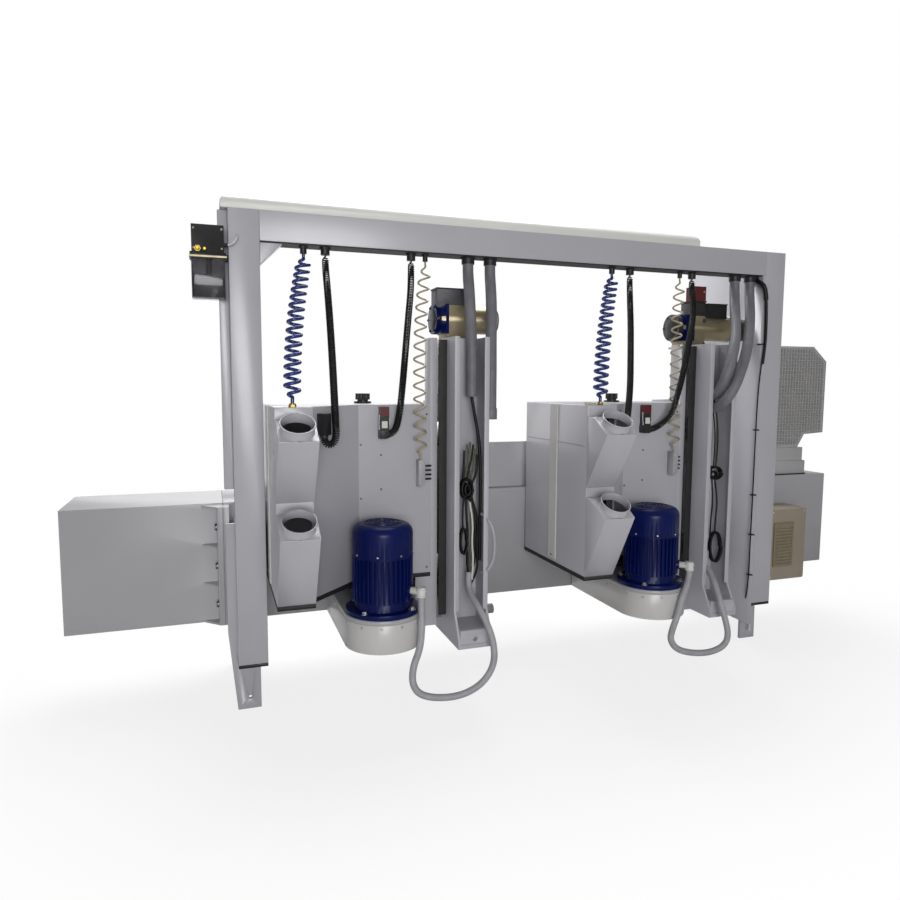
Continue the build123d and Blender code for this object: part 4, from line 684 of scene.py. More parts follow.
def soften(piece, edge, sharp=35):
    """Smooth shading with keen edges kept, and rounded edges of the given width in millimetres."""
    mesh = piece.data
    mesh.polygons.foreach_set("use_smooth", [True] * len(mesh.polygons))
    mesh.set_sharp_from_angle(angle=math.radians(sharp))
    if edge:
        bevel = piece.modifiers.new("Rounded edges", "BEVEL")
        bevel.width = edge * MM
        bevel.segments = 2
        bevel.limit_method = "ANGLE"
        bevel.angle_limit = math.radians(sharp)
        bevel.harden_normals = True


def dress(node, made, edge=None):
    """Give a CAD piece its finish and rounded edges."""
    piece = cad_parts[node]
    piece.data.materials.clear()
    piece.data.materials.append(made())
    weld = piece.modifiers.new("Joined faces", "WELD")
    weld.merge_threshold = 0.01 * MM
    soften(piece, sizes().edge / MM if edge is None else edge)
    return piece


def paint(node, finishes, pick, edge=None):
    """Give a CAD piece several finishes, picked for each face by the place of its middle in millimetres."""
    piece = dress(node, finishes[0], edge)
    for made in finishes[1:]:
        piece.data.materials.append(made())
    for face in piece.data.polygons:
        face.material_index = finishes.index(pick(piece.matrix_world @ face.center / MM))
    return piece


def loop_line(centre, wide, high, turns, axis, rise, steps):
    """Line of loops round an axis that climbs along it, in millimetres."""
    turn = Vector(axis).to_track_quat("Z", "Y")
    count = turns * steps
    line = []
    for i in range(count + 1):
        angle = 2 * math.pi * i / steps
        place = Vector((wide * math.cos(angle), high * math.sin(angle), rise * i / count))
        line.append(Vector(centre) + turn @ place)
    return line


def tube_rings(line, radius, sides):
    """Rings of points round a line, turned as little as possible from one to the next."""
    line = [Vector(p) for p in line]
    radii = radius if isinstance(radius, list) else [radius] * len(line)
    ahead = (line[1] - line[0]).normalized()
    across = ahead.orthogonal().normalized()
    rings = []
    for i, here in enumerate(line):
        way = (line[min(i + 1, len(line) - 1)] - line[max(i - 1, 0)]).normalized()
        across = ahead.rotation_difference(way) @ across
        across = (across - way * across.dot(way)).normalized()
        ahead = way
        other = way.cross(across)
        rings.append([here + across * (radii[i] * math.cos(a)) + other * (radii[i] * math.sin(a))
                      for a in (2 * math.pi * k / sides for k in range(sides))])
    return rings


def smooth_line(route, step):
    """Evenly spaced points along a smooth curve that is drawn by the points of a route, in millimetres."""
    data = bpy.data.curves.new("route", "CURVE")
    data.dimensions = "3D"
    data.resolution_u = 24
    spline = data.splines.new("NURBS")
    spline.points.add(len(route) - 1)
    for point, place in zip(spline.points, route):
        point.co = (*place, 1)
    spline.order_u = 3
    spline.use_endpoint_u = True
    holder = bpy.data.objects.new("route", data)
    mesh = bpy.data.meshes.new_from_object(holder)
    line = [v.co.copy() for v in mesh.vertices]
    bpy.data.objects.remove(holder)
    bpy.data.curves.remove(data)
    bpy.data.meshes.remove(mesh)
    return evenly(line, step)


def length_of(line):
    """Length along a line of points."""
    return sum((b - a).length for a, b in zip(line, line[1:]))


def evenly(line, step):
    """The line's points set anew at even steps."""
    count = max(2, round(length_of(line) / step))
    step = length_of(line) / count
    spaced = [line[0]]
    walked = 0.0
    for a, b in zip(line, line[1:]):
        run = (b - a).length
        while run > 0 and walked + run >= step * len(spaced) - 1e-6 and len(spaced) < count:
            spaced.append(a.lerp(b, (step * len(spaced) - walked) / run))
        walked += run
    return spaced + [line[-1]]


def hung(side, name, route):
    """Route of a cord that leaves its gland straight down."""
    x = EXITS[side][name]
    return [(x, GLAND_Y, GLAND_Z), (x, GLAND_Y, GLAND_Z - DROP)] + route


def unit_origin(side):
    """Floor point under a unit's spindle plane."""
    return Vector((UNIT_X[side], 0, 0))


def bezier(points, t):
    """Point on the cubic curve with four control points."""
    a, b, c, d = points
    s = 1 - t
    return a * s ** 3 + b * (3 * s * s * t) + c * (3 * s * t * t) + d * t ** 3


def spiral_line(x, end, tube, coil, turns, lean, early):
    """Line of a spiral hose from its gland to its fitting: level turns, small in the first and the last."""
    tail = Vector((0, 0, 2 * tube + 0.5))
    top = Vector((x, GLAND_Y, GLAND_Z)) - tail
    foot = Vector(end) + tail
    drop = top.z - foot.z
    bend = [top, top - Vector((0, 0, 0.1 * drop)), foot + Vector((*lean, early * drop)), foot]
    steps = turns * 20
    fine = [bezier(bend, i / 2000) for i in range(2001)]
    axis = evenly(fine, length_of(fine) / steps)
    line = [top + tail * 0.98]
    for centre in axis:
        share = (top.z - centre.z) / drop
        ramp = min(1.0, share * turns, (1 - share) * turns)
        reach = coil * ramp * ramp * (3 - 2 * ramp)
        angle = 2 * math.pi * turns * share
        line.append(centre + Vector((reach * math.cos(angle), -reach * math.sin(angle), 0)))
    return line + [foot - tail * 0.98]


def coiled_line(route, coil, loose, tight):
    """Line of a coiled cord round a route: open turns above, close ones below, ends drawn to the middle."""
    axis = smooth_line(route, 2)
    total = length_of(axis)
    rings = tube_rings(axis, 1, 4)
    line = [axis[0]]
    angle = 0.0
    for i in range(1, len(axis)):
        far = i / (len(axis) - 1)
        run = (axis[i] - axis[i - 1]).length
        pitch = loose + (tight - loose) * min(1.0, far / 0.55) ** 0.7
        pieces = max(2, math.ceil(run / pitch * 14))
        for k in range(1, pieces + 1):
            part = k / pieces
            centre = axis[i - 1].lerp(axis[i], part)
            across = (rings[i][0] - axis[i]).normalized()
            other = (rings[i][1] - axis[i]).normalized()
            turn = angle + 2 * math.pi * run * part / pitch
            walked = (i - 1 + part) / (len(axis) - 1) * total
            ramp = min(1.0, walked / 25, (total - walked) / 25)
            reach = coil * ramp * ramp * (3 - 2 * ramp)
            line.append(centre + across * (reach * math.cos(turn)) + other * (reach * math.sin(turn)))
        angle += 2 * math.pi * run / pitch
    return line


def ribbed(line, radius, pitch):
    """Radii of a corrugated conduit along evenly spaced points, four to a rib."""
    depth = 0.13 * pitch
    return [radius - depth * (0, 0, 1, 1)[i % 4] for i in range(len(line))]


def lay_cord(name, side, line, radius, made, node, radii=None, sides=10):
    """Tube along a line of a unit, built in place of the CAD node it hides."""
    shape = Shape(unit_origin(side))
    shape.tube(line, radii or radius, sides=sides)
    cord = shape.build(name, [made], stands_for=[node], sharp=60)
    return cord


class TENONER_OT_bed(bpy.types.Operator):
    """Bed, left extension, legs and the bolts between them"""
    bl_idname = "tenoner.bed"
    bl_label = "Bed"

    def execute(self, context):
        dress("bed_main", bed_enamel, 11)
        dress("bed_left_extension", bed_enamel, 8)
        dress("bed_legs", grey_enamel, 4)
        dress("frame_bolts", tool_steel, 1.5)
        return {"FINISHED"}


class TENONER_OT_portal(bpy.types.Operator):
    """Posts, beam, end caps, hose glands, cable covers and the cables tied to the right post"""
    bl_idname = "tenoner.portal"
    bl_label = "Cable portal"

    def execute(self, context):
        dress("portal_posts", grey_enamel, 3)
        dress("portal_beam", grey_enamel, 3)
        dress("post_end_caps", black_polyamide, 3)
        paint("hose_glands", [black_polyamide, shaded_conduit_polyamide], self.gland_finish, 1.5)
        # Above COVER_FOOT the covers on the beam top are cream, partly painted light where the top catches
        # the light.
        paint("cable_covers", [grey_enamel, cream_lit_polyvinyl],
              lambda p: cream_lit_polyvinyl if p.z > COVER_FOOT else grey_enamel, 4)
        # Thin black rubber plate under the beam, put there as painted shade for its dark underside.
        strip = Shape()
        strip.block(*BEAM_UNDERSIDE_SHADE)
        strip.build("beam_underside_shade_strip", [rubber], "frame", edge=1.5)
        self.post_cables()
        return {"FINISHED"}

    def gland_finish(self, p):
        """Grey elbow on the left column in the grey darkened as painted shade, black glands."""
        return shaded_conduit_polyamide if p.z < ELBOW_TOP and p.y < ELBOW_FRONT and p.x < 0 else black_polyamide

    def post_cables(self):
        """Cables that drop from a gland and run down the right post in ties."""
        cables = Shape()
        cables.turned([(13, 0), (16, 4), (16, 34), (13, 38)], POST_GLAND, sides=20)
        for count, shift, radius in POST_BUNDLE:
            route = [(x + shift * 0.6, y - shift * 0.5, z) for x, y, z in POST_CABLE[:count]]
            cables.tube(smooth_line(route, 12), radius, sides=10)
        for x, y, z in POST_TIES:
            cables.turned([(12, -4), (15, -3), (15, 3), (12, 4)], (x + 4, y - 2, z), sides=18)
            cables.block((x + 8, y - 22, z - 4), (x + 15, y - 12, z + 4))
        cables.build("post_cables", [cable_jacket], "frame", sharp=60)


class TENONER_OT_lube_pump(bpy.types.Operator):
    """Lubrication pump with its clear bowl, fittings and contents"""
    bl_idname = "tenoner.lube_pump"
    bl_label = "Lubrication pump"

    def execute(self, context):
        dress("lube_pump", black_polyamide, 4)
        dress("lube_reservoir", clear_polycarbonate, 1)
        parts = Shape()
        parts.block(*PUMP_FLANGE, cast_aluminium)
        parts.block(*GREASE_FILL, grease)
        parts.block(*FOLLOWER_PLATE, white_polyamide)
        parts.turned([(12, 0), (12, 84), (9, 86)], FOLLOWER_ROD, UP, cast_aluminium, 20)
        parts.turned([(15, 0), (15, 12), (10, 12), (10, 22), (7, 24)], GREASE_UNION, REAR, brass, 6)
        parts.turned([(9, 0), (9, 10), (6, 14)], BLEED_PLUG, REAR, brass, 12)
        parts.tube(smooth_line(PUMP_PIPE, 4), 5.5, white_polyamide)
        for place in PUMP_SCREWS:
            parts.screw(place, REAR, 6, cast_aluminium)
        finishes = [cast_aluminium, grease, white_polyamide, brass]
        parts.build("pump_fittings", finishes, "frame", edge=1)
        return {"FINISHED"}


class TENONER_OT_end_group(bpy.types.Operator):
    """Cabinet with its grille, stepped box and mesh guard at the right end"""
    bl_idname = "tenoner.end_group"
    bl_label = "Cabinet and end guard"

    def execute(self, context):
        dress("control_cabinet", beige_powder_coat, 5)
        dress("cabinet_grille", grille_polyamide, 1)
        dress("end_guard_base", guard_enamel, 6)
        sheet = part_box("mesh_guard")[0].y / MM + WIRE_RELIEF
        # The plane behind the wires takes the dark sheet of painted shade.
        paint("mesh_guard", [guard_enamel, guard_shade_sheet],
              lambda p: guard_shade_sheet if abs(p.y - sheet) < 0.5 else guard_enamel, 0)
        trim = Shape()
        for place in CABINET_SCREWS:
            trim.screw(place, REAR, 7, zinc_steel)
        trim.block(*GUARD_GASKET, rubber)
        trim.build("cabinet_screws", [zinc_steel, rubber], "frame", edge=1)
        return {"FINISHED"}


class TENONER_OT_columns(bpy.types.Operator):
    """Columns with guide rails, way covers, lead screws and the wiring in the channels"""
    bl_idname = "tenoner.columns"
    bl_label = "Columns"

    def execute(self, context):
        dress("columns", column_enamel, 3)
        dress("guide_rails", ground_steel, 1.5)
        dress("way_covers", rubber, 0.8)
        self.rail_plugs()
        for side in SIDES:
            dress(f"{side}_z_screw", ground_steel, 1)
            climb = SCREW_LEAD * SCREW_TURNS
            helix = loop_line(SCREW_AXIS, SCREW_RADIUS, SCREW_RADIUS, SCREW_TURNS, UP, climb, 16)
            thread = Shape(unit_origin(side))
            thread.tube(helix, 2.4, sides=6)
            thread.build(f"{side}_screw_thread", [ground_steel], f"{side}_screw", sharp=60)
            self.wiring(side)
        return {"FINISHED"}

    def rail_plugs(self):
        """Caps in the bolt holes of the rails on the bed and on the columns."""
        plugs = Shape()
        for y in BED_RAILS:
            for x in BED_PLUGS:
                plugs.turned([(9, 0), (9, 0.8), (7.5, 0.8), (7.5, 0.3)], (x, y, BED_RAIL_TOP), sides=18)
        for side in SIDES:
            face = unit_origin(side).x / MM + RAIL_FACE
            for y, heights in COLUMN_PLUGS.items():
                for z in heights:
                    plugs.turned([(7, 0), (7, 0.8), (5.5, 0.8), (5.5, 0.3)], (face, y, z), LEFT, sides=16)
        plugs.build("rail_plugs", [black_polyamide], "frame")

    def wiring(self, side):
        """Coils and loose wires in a column's channel."""
        finishes = {
            "black": cable_jacket, "grey": conduit_polyamide, "green": earth_wire, "white": white_polyamide}
        wiring = Shape(unit_origin(side))
        for centre, wide, high, turns, radius in WIRE_COILS[side]:
            wiring.tube(loop_line(centre, wide, high, turns, REAR, 9 * turns, 20), radius, cable_jacket, 8)
        for tint, radius, route in CHANNEL_WIRES[side]:
            wiring.tube(smooth_line(route, 8), radius, finishes[tint], 10)
        wiring.build(f"{side}_channel_wiring", list(finishes.values()), "frame", sharp=60)


class TENONER_OT_gearmotors(bpy.types.Operator):
    """Gear motors on the columns"""
    bl_idname = "tenoner.gearmotors"
    bl_label = "Gear motors"

    def execute(self, context):
        casing = [cast_aluminium, black_polyamide, blue_enamel, cast_iron]
        paint("z_gearmotors", casing, self.casing_finish, 3)
        for side in SIDES:
            self.details(side)
        return {"FINISHED"}

    def casing_finish(self, p):
        """Blue nose, cast barrel, black fan cowl; the box on top is cast on the left, black on the right."""
        middle = (unit_origin("left").x + unit_origin("right").x) / 2 / MM
        side = "left" if p.x < middle else "right"
        x = p.x - unit_origin(side).x / MM
        if x > BARREL_TIP[side]:
            return black_polyamide
        if p.z > GEAR_TOP:
            return cast_iron if side == "left" else black_polyamide
        return blue_enamel if x < GEAR_JOINT else cast_aluminium

    def details(self, side):
        """Rings and bolts of the barrel, sleeve and lid; red block and terminal box on the right."""
        parts = Shape(unit_origin(side))
        rim = blue_enamel if side == "left" else cast_iron
        parts.turned([(64, 0), (79, 1), (81, 4), (81, 20), (64, 22)], (BARREL_TIP[side] - 26, *GEAR_AXIS),
                     RIGHT, zinc_steel, ring=True)
        for x in range(GEAR_NOSE, 390, 6):
            parts.turned([(62, 0), (79, 1), (79, 4), (62, 5)], (x, *GEAR_AXIS), RIGHT, rim, ring=True)
        parts.turned([(20, -2), (58, 0), (62, 3), (62, 8)], (GEAR_NOSE - 2, *GEAR_AXIS), RIGHT,
                     black_polyamide)
        for i in range(6):
            turn = math.pi * i / 3
            place = (GEAR_NOSE, GEAR_AXIS[0] + 69 * math.cos(turn), GEAR_AXIS[1] + 69 * math.sin(turn))
            parts.bolt(place, LEFT, 9, rim)
        parts.block((GEAR_JOINT - 2, -153, 1912), (SLEEVE_END[side], -7, 2066), blue_enamel)
        for z in (1894, 2032):
            parts.bolt((548, -150, z), REAR, 13, cast_iron)
        parts.block((LID_START[side], -134, LID_TOP - 7), (LID_END, -26, LID_TOP), black_polyamide)
        for x in (LID_START[side] + 12, LID_END - 12):
            parts.screw((x, -122, LID_TOP), UP, 5, zinc_steel)
        if side == "right":
            parts.block(*RED_BLOCK, red_polyamide)
            parts.screw((560, -124, 2205), REAR, 6, zinc_steel)
            parts.block(*TERMINAL_BOX, black_polyamide)
            parts.block(*TERMINAL_LID, black_polyamide)
        finishes = [cast_aluminium, black_polyamide, blue_enamel, zinc_steel, red_polyamide, cast_iron]
        parts.build(f"{side}_gear_details", finishes, "frame", edge=1.5)


class TENONER_OT_hoods(bpy.types.Operator):
    """Hoods with their spouts, knobs, screws and fittings"""
    bl_idname = "tenoner.hoods"
    bl_label = "Hoods"

    def execute(self, context):
        for side in SIDES:
            dress(f"{side}_hood", grey_enamel, 4)
            dress(f"{side}_dust_spouts", grey_enamel, 3)
            dress(f"{side}_hood_knob", black_polyamide, 4)
            self.trim(side)
            self.fittings(side)
        return {"FINISHED"}

    def trim(self, side):
        """Batten and seam on the left face, screws on the rear wall, rolled rims on the dust collars."""
        trim = Shape(unit_origin(side))
        trim.block(*BATTEN, warm_enamel)
        trim.screw(BATTEN_SCREW, LEFT, 6, tool_steel)
        trim.block(*HOOD_SEAM, grey_enamel)
        bead = [(4 * math.cos(2 * math.pi * i / 10), 4 * math.sin(2 * math.pi * i / 10)) for i in range(10)]
        collar = sizes().collar / MM
        rim = [(collar + 1 + out, along - 3) for out, along in bead]
        for mouth in MOUTHS:
            trim.turned(rim, (SPOUT_X, SPOUT_REAR + collar * math.sin(LEAN), mouth),
                        (0, -math.cos(LEAN), math.sin(LEAN)), grey_enamel, 64, True)
        for x, z in WALL_SCREWS[side]:
            trim.screw((x, HOOD_WALL, z), REAR, 5.5, tool_steel)
        finishes = [grey_enamel, tool_steel, warm_enamel]
        trim.build(f"{side}_hood_trim", finishes, f"{side}_head", edge=1)

    def fittings(self, side):
        """Connector, plug, oil distributor, air fitting, conduit elbow and edge seal."""
        centre = unit_origin(side).x / MM

        def pick(p):
            x = p.x - centre
            if p.z < PORT_TOP and x > 80 and p.y < -500:
                return white_polyamide
            if x > DISTRIBUTOR_X[0] and DISTRIBUTOR_Z[0] < p.z < DISTRIBUTOR_Z[1]:
                return conduit_polyamide if x < DISTRIBUTOR_X[1] else black_polyamide
            if p.z > HOOD_TOP - 1:
                return brass
            return rubber if p.z < SEAL_TOP else black_polyamide

        finishes = [black_polyamide, white_polyamide, brass, rubber, conduit_polyamide]
        paint(f"{side}_head_fittings", finishes, pick, 1.5)
        parts = Shape(unit_origin(side))
        parts.block(*CONNECTOR_CAP, red_polyamide)
        parts.block(*CONNECTOR_BODY, black_polyamide)
        parts.block(*CONNECTOR_WINDOW, white_polyamide)
        for clip in CONNECTOR_CLIPS:
            parts.tube(clip, 2.5, zinc_steel, 8)
        parts.turned([(14, 0), (17, 3), (17, 14), (12, 20)], CORD_SOCKET, RIGHT, black_polyamide, 20)
        parts.turned([(19, 0), (19, 12), (15, 14), (13, 22)], CORD_PLUG, DOWN, black_polyamide, 20)
        parts.turned([(17, 0), (17, 9), (15, 11)], (*AIR_END[:2], HOOD_TOP), UP, brass, 6)
        parts.turned([(20, 0), (25, 2), (25, 12), (20, 14)], (*PORT, 690), UP, white_polyamide, 32, True)
        parts.turned([(18, 0), (24, 2), (24, 10), (18, 12)], (*PORT, 664), UP, white_polyamide, 32, True)
        for place in OIL_OUTLETS:
            parts.turned([(8, 0), (8, 9), (5, 12)], place, RIGHT, brass, 6)
        for place in DISTRIBUTOR_SCREWS:
            parts.screw(place, REAR, 5, zinc_steel)
        if side == "right":
            parts.tube(loop_line(OIL_LOOP, 24, 24, 1, UP, 4, 28), 4.5, oil_polyamide, 10)
        finishes = [black_polyamide, red_polyamide, brass, zinc_steel, white_polyamide, oil_polyamide]
        parts.build(f"{side}_fitting_details", finishes, f"{side}_head", edge=1)


class TENONER_OT_heads(bpy.types.Operator):
    """Slides, head plates, spindles, cutters, belts, covers and motors"""
    bl_idname = "tenoner.heads"
    bl_label = "Spindle heads"

    def execute(self, context):
        plain = {
            "slide_plate": grey_enamel, "slide_blocks": ground_steel, "head_plate": bed_enamel,
            "spindle_housing": cast_iron, "belt_cover": warm_enamel, "drive_belt": rubber,
            "motor_pulley": cast_iron, "spindle": ground_steel, "cutter_stack": tool_steel,
            "motor": blue_enamel,
        }
        for side in SIDES:
            for name, made in plain.items():
                dress(f"{side}_{name}", made)
            parts = Shape(unit_origin(side))
            self.fan_cover(parts)
            self.fasteners(parts)
            parts.build(f"{side}_motor_details", [blue_enamel, black_polyamide, zinc_steel], f"{side}_head",
                        edge=0.8)
        return {"FINISHED"}

    def fan_cover(self, parts):
        """Grille with rings and spokes on the fan cover over a black disc of painted shade, bead and screws
        round its seam.
        """
        radius = sizes().motor / MM
        x, y = MOTOR_AXIS
        # Thin black disc under the rings: painted shade of the recess behind the grille.
        parts.turned([(96, 0), (96, 1)], (x, y, MOTOR_TOP), UP, black_polyamide, 48)
        for r in (24, 44, 64, 84):
            parts.turned([(r - 4, 0), (r - 3, 4), (r + 3, 4), (r + 4, 0)], (x, y, MOTOR_TOP + 0.5), UP,
                         blue_enamel, 48, True)
        parts.turned([(radius - 2, -4), (radius + 1.5, -3), (radius + 1.5, 3), (radius - 2, 4)],
                     (x, y, FAN_SEAM), UP, blue_enamel, 64, True)
        for i in range(8):
            turn = math.pi * (i + 0.5) / 4
            way = Vector((math.cos(turn), math.sin(turn), 0))
            across = Vector((-way.y, way.x, 0))
            spoke = [way * r + across * s for r, s in ((20, -3), (90, -3), (90, 3), (20, 3))]
            parts.loft([[(x + p.x, y + p.y, MOTOR_TOP + h) for p in spoke] for h in (0.5, 3.5)], blue_enamel)
            parts.screw((x + way.x * radius, y + way.y * radius, FAN_SEAM + 14), way, 5, zinc_steel)

    def fasteners(self, parts):
        """Bolts of the motor's flange and screws round the belt cover."""
        x, y = MOTOR_AXIS
        for i in range(4):
            turn = math.pi * (2 * i + 1) / 4
            place = (x + FLANGE_BOLTS * math.cos(turn), y + FLANGE_BOLTS * math.sin(turn), FLANGE_TOP)
            parts.bolt(place, UP, 19, zinc_steel)
        for degrees in range(-165, 0, 30):
            turn = math.radians(degrees)
            way = Vector((math.cos(turn), math.sin(turn), 0))
            parts.screw((x + way.x * COVER_HALF, y + way.y * COVER_HALF, COVER_SCREWS), way, 6, zinc_steel)
        for across in (-1, 1):
            for place in (-330, -190, -50):
                parts.screw((across * COVER_HALF, place, COVER_SCREWS), (across, 0, 0), 6, zinc_steel)


class TENONER_OT_carriage(bpy.types.Operator):
    """Work carriage with its rear skirt, handle and clamp"""
    bl_idname = "tenoner.carriage"
    bl_label = "Work carriage"

    def execute(self, context):
        dress("carriage_base", bed_enamel, 3)
        dress("carriage_table", bed_enamel, 3)
        dress("clamp_frame", grey_enamel, 3)
        dress("clamp_rod", ground_steel, 1.5)
        parts = Shape()
        grip = [(14, 0), (17, 4)]
        for foot in range(8, 138, 13):
            grip += [(17, foot), (15.5, foot + 3), (15.5, foot + 6), (17, foot + 9)]
        parts.turned(grip + [(14, 148)], HANDLE_ROOT, FRONT, rubber, 24)
        for place in CLAMP_BOLTS:
            parts.bolt(place, UP, 9, zinc_steel)
        for place in CLAMP_PORTS:
            parts.turned([(11, 0), (11, 9), (7, 10), (7, 20)], place, FRONT, brass, 6)
        for place in SKIRT_SCREWS:
            parts.screw(place, REAR, 6, zinc_steel)
        parts.block(*SKIRT, bed_enamel)
        finishes = [rubber, zinc_steel, brass, bed_enamel]
        parts.build("carriage_details", finishes, "carriage", edge=0.8)
        return {"FINISHED"}


class TENONER_OT_spiral_hoses(bpy.types.Operator):
    """Blue air spirals and beige oil spirals between the beam and the heads"""
    bl_idname = "tenoner.spiral_hoses"
    bl_label = "Spiral hoses"

    def execute(self, context):
        for side in SIDES:
            for name, (end, turns, lean, early) in SPIRALS.items():
                tube = getattr(sizes(), name) / MM
                coil = getattr(sizes(), f"{name}_coil") / MM
                made = hose_polyurethane if name == "air" else oil_polyamide
                line = spiral_line(EXITS[side][name], end, tube, coil, turns, lean, early)
                hose = lay_cord(f"{side}_{name}_spiral", side, line, tube, made,
                                f"{side}_spiral_hoses")
                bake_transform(hose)
        return {"FINISHED"}


class TENONER_OT_coil_cords(bpy.types.Operator):
    """Black coiled cords between the beam and the heads"""
    bl_idname = "tenoner.coil_cords"
    bl_label = "Coiled cords"

    def execute(self, context):
        for side in SIDES:
            for name, route in COIL_CORDS[side].items():
                line = coiled_line(hung(side, name, route), sizes().cord_coil / MM, 10, 7.4)
                cord = lay_cord(f"{side}_{name}_cord", side, line, sizes().cord / MM, cable_jacket,
                                f"{side}_coil_cords", sides=6)
                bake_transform(cord)
        return {"FINISHED"}


class TENONER_OT_supply_cables(bpy.types.Operator):
    """Grey conduits from the beam to the columns and the cables that come out of them"""
    bl_idname = "tenoner.supply_cables"
    bl_label = "Supply conduits"

    def execute(self, context):
        radius = sizes().conduit / MM
        pitch = sizes().rib_pitch / MM
        for side in SIDES:
            for name, route in CONDUITS[side].items():
                line = smooth_line(hung(side, name, route), pitch / 4)
                # The supply conduits take the conduit grey darkened as painted shade.
                conduit = lay_cord(f"{side}_{name}_tube", side, line, radius, shaded_conduit_polyamide,
                                   "supply_cables",
                                   ribbed(line, radius, pitch), 20)
                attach(conduit, "frame")
            line = smooth_line(WIRES[side], 6)
            wire = lay_cord(f"{side}_channel_cable", side, line, sizes().wire / MM, cable_jacket,
                            "supply_cables")
            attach(wire, "frame")
        return {"FINISHED"}


class TENONER_OT_motor_conduits(bpy.types.Operator):
    """Grey conduits that hang in a loop from the motors to the columns"""
    bl_idname = "tenoner.motor_conduits"
    bl_label = "Motor conduits"

    def execute(self, context):
        radius = sizes().motor_conduit / MM
        pitch = sizes().rib_pitch / MM
        for side in SIDES:
            line = smooth_line(MOTOR_CONDUITS[side], pitch / 4)
            conduit = lay_cord(f"{side}_motor_conduit_tube", side, line, radius, conduit_polyamide,
                               f"{side}_motor_conduit",
                               ribbed(line, radius, pitch), 16)
            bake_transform(conduit)
        return {"FINISHED"}


class TENONER_OT_stage(bpy.types.Operator):
    """Floor, light and camera at the photo's viewing angle"""
    bl_idname = "tenoner.stage"
    bl_label = "Stage"

    def execute(self, context):
        scene = context.scene
        scene.view_settings.view_transform = "Standard"
        add_floor()
        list(add_lights())
        add_camera(scene)
        set_world(scene)
        return {"FINISHED"}


def add_floor():
    """Pale floor that takes the shadow near the machine and runs out into white."""
    mesh = bpy.data.meshes.new("Floor")
    mesh.from_pydata([(-40, -40, 0), (40, -40, 0), (40, 40, 0), (-40, 40, 0)], [], [(0, 1, 2, 3)])
    floor = bpy.data.objects.new("Floor", mesh)
    bpy.context.scene.collection.objects.link(floor)
    made, tree = new_material("Pale studio floor")
    place = add_node(tree, "TexCoord").outputs["Object"]
    near = add_node(tree, "Mapping", {"Vector": place, "Scale": (0.55, 1, 1)}).outputs["Vector"]
    reach = add_node(tree, "VectorMath", {0: near}, operation="LENGTH").outputs["Value"]
    away = add_node(tree, "MapRange", {"Value": reach, "From Min": 0.9, "From Max": 2.2, "To Min": 0.8},
                    interpolation_type="SMOOTHSTEP").outputs["Result"]
    seen = add_node(tree, "LightPath").outputs["Is Camera Ray"]
    both = add_node(tree, "Math", {0: away, 1: seen}, operation="MULTIPLY").outputs["Value"]
    dull = add_node(tree, "BsdfDiffuse", {"Color": (0.62, 0.62, 0.62, 1)}).outputs["BSDF"]
    pale = add_node(tree, "BsdfDiffuse", {"Color": (0.9, 0.9, 0.9, 1)}).outputs["BSDF"]
    matt = add_node(tree, "MixShader", {0: seen, 1: dull, 2: pale}).outputs["Shader"]
    white = add_node(tree, "Emission", {"Color": (1, 1, 1, 1)}).outputs["Emission"]
    mixed = add_node(tree, "MixShader", {0: both, 1: matt, 2: white}).outputs["Shader"]
    add_node(tree, "OutputMaterial", {"Surface": mixed})
    mesh.materials.append(made)
    return floor


def add_lights():
    """Large soft lamps: one overhead, one behind the camera to the left and a faint one on the far side."""
    lamps = (
        ("Overhead", (0, 2.4, 5.8), (0, 0.8, 0), 5.0, 420),
        ("Key", (-2.2, -8.8, 2.0), (0, 0, 1.2), 4.0, 335),
        ("Far side", (-1, 8, 2.0), (-0.5, 0, 1.3), 7.0, 105),
    )
    made = []
    for name, place, aim, width, power in lamps:
        data = bpy.data.lights.new(name, "AREA")
        data.shape = "DISK"
        data.size = width
        data.energy = power
        lamp = bpy.data.objects.new(name, data)
        lamp.location = place
        lamp.rotation_euler = (Vector(aim) - Vector(place)).to_track_quat("-Z", "Y").to_euler()
        bpy.context.scene.collection.objects.link(lamp)
        made.append(lamp)
    return made


def add_camera(scene):
    """Camera at eye height, to the left behind the machine."""
    yaw, pitch, roll = (math.radians(degrees) for degrees in (19.04, 5.43, -0.24))
    ahead = Vector((math.sin(yaw) * math.cos(pitch), math.cos(yaw) * math.cos(pitch), -math.sin(pitch)))
    level = Vector((math.cos(yaw), -math.sin(yaw), 0))
    right = level * math.cos(roll) - level.cross(ahead) * math.sin(roll)
    up = right.cross(ahead)
    data = bpy.data.cameras.new("Camera")
    data.sensor_width = 36
    data.lens = 690.4 / 900 * 36
    camera = bpy.data.objects.new("Camera", data)
    camera.matrix_world = Matrix((right, up, -ahead)).transposed().to_4x4()
    camera.location = (-1.671, -3.597, 1.649)
    scene.collection.objects.link(camera)
    scene.camera = camera
    return camera


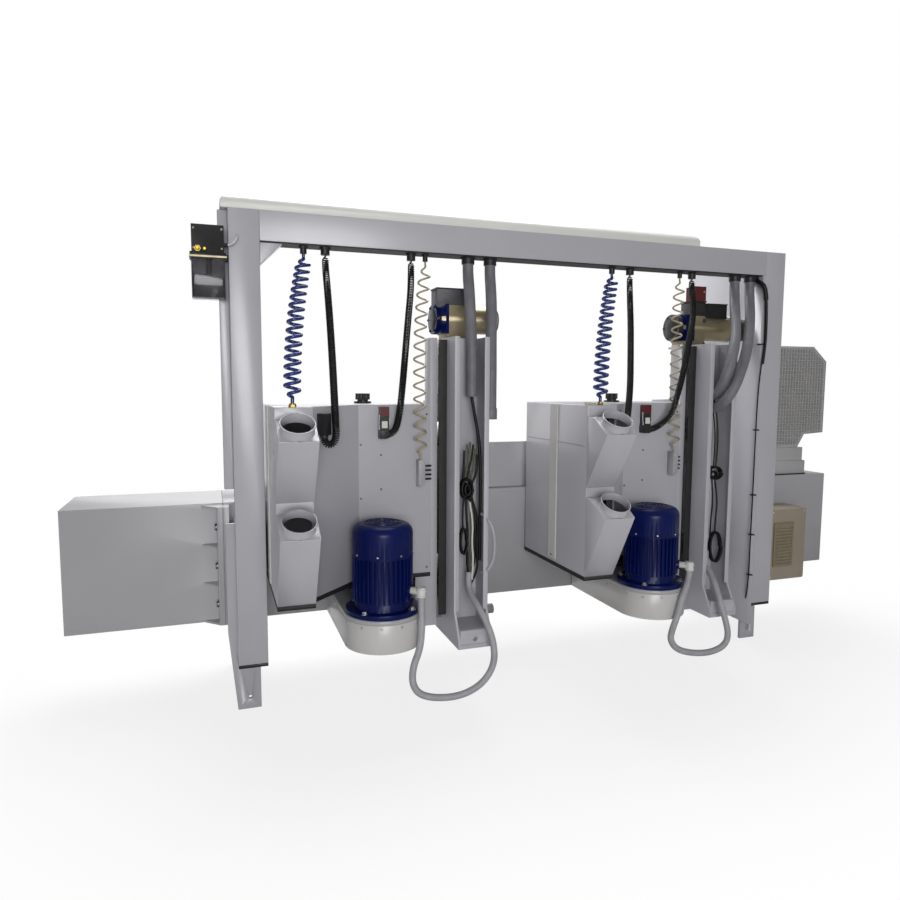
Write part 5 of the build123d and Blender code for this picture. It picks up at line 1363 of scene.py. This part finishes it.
def set_world(scene):
    """White to the eye, pale in reflections, a soft even grey as light."""
    world = bpy.data.worlds.new("Studio")
    world.use_nodes = True
    tree = world.node_tree
    tree.nodes.clear()
    path = add_node(tree, "LightPath").outputs
    soft, mirrored, white = (
        add_node(tree, "Background", {"Color": (*tint, 1), "Strength": strength}).outputs["Background"]
        for tint, strength in (((0.96, 0.97, 1.0), 0.22), ((1, 1, 1), 0.36), ((1, 1, 1), 1.0)))
    lit = add_node(tree, "MixShader", {0: path["Is Glossy Ray"], 1: soft, 2: mirrored}).outputs["Shader"]
    mixed = add_node(tree, "MixShader", {0: path["Is Camera Ray"], 1: lit, 2: white}).outputs["Shader"]
    add_node(tree, "OutputWorld", {"Surface": mixed})
    scene.world = world


OPERATORS = (
    TENONER_OT_bed, TENONER_OT_portal, TENONER_OT_lube_pump, TENONER_OT_end_group, TENONER_OT_columns,
    TENONER_OT_gearmotors, TENONER_OT_hoods, TENONER_OT_heads, TENONER_OT_carriage, TENONER_OT_spiral_hoses,
    TENONER_OT_coil_cords, TENONER_OT_supply_cables, TENONER_OT_motor_conduits, TENONER_OT_stage,
)


class TENONER_PT_pieces(bpy.types.Panel):
    """Pieces of the tenoning machine"""
    bl_idname = "TENONER_PT_pieces"
    bl_label = "Tenoning machine"
    bl_space_type = "VIEW_3D"
    bl_region_type = "UI"
    bl_category = "Tenoner"

    def draw(self, context):
        for made in OPERATORS:
            self.layout.operator(made.bl_idname)


CLASSES = (TenonerSizes, TenonerColours, *OPERATORS, TENONER_PT_pieces)


def register():
    for made in CLASSES:
        bpy.utils.register_class(made)
    bpy.types.Scene.tenoner_sizes = bpy.props.PointerProperty(type=TenonerSizes)
    bpy.types.Scene.tenoner_colours = bpy.props.PointerProperty(type=TenonerColours)


def unregister():
    del bpy.types.Scene.tenoner_colours
    del bpy.types.Scene.tenoner_sizes
    for made in reversed(CLASSES):
        bpy.utils.unregister_class(made)


def main():
    register()
    for made in OPERATORS:
        group, name = made.bl_idname.split(".")
        getattr(getattr(bpy.ops, group), name)()


if __name__ == "__main__":
    main()
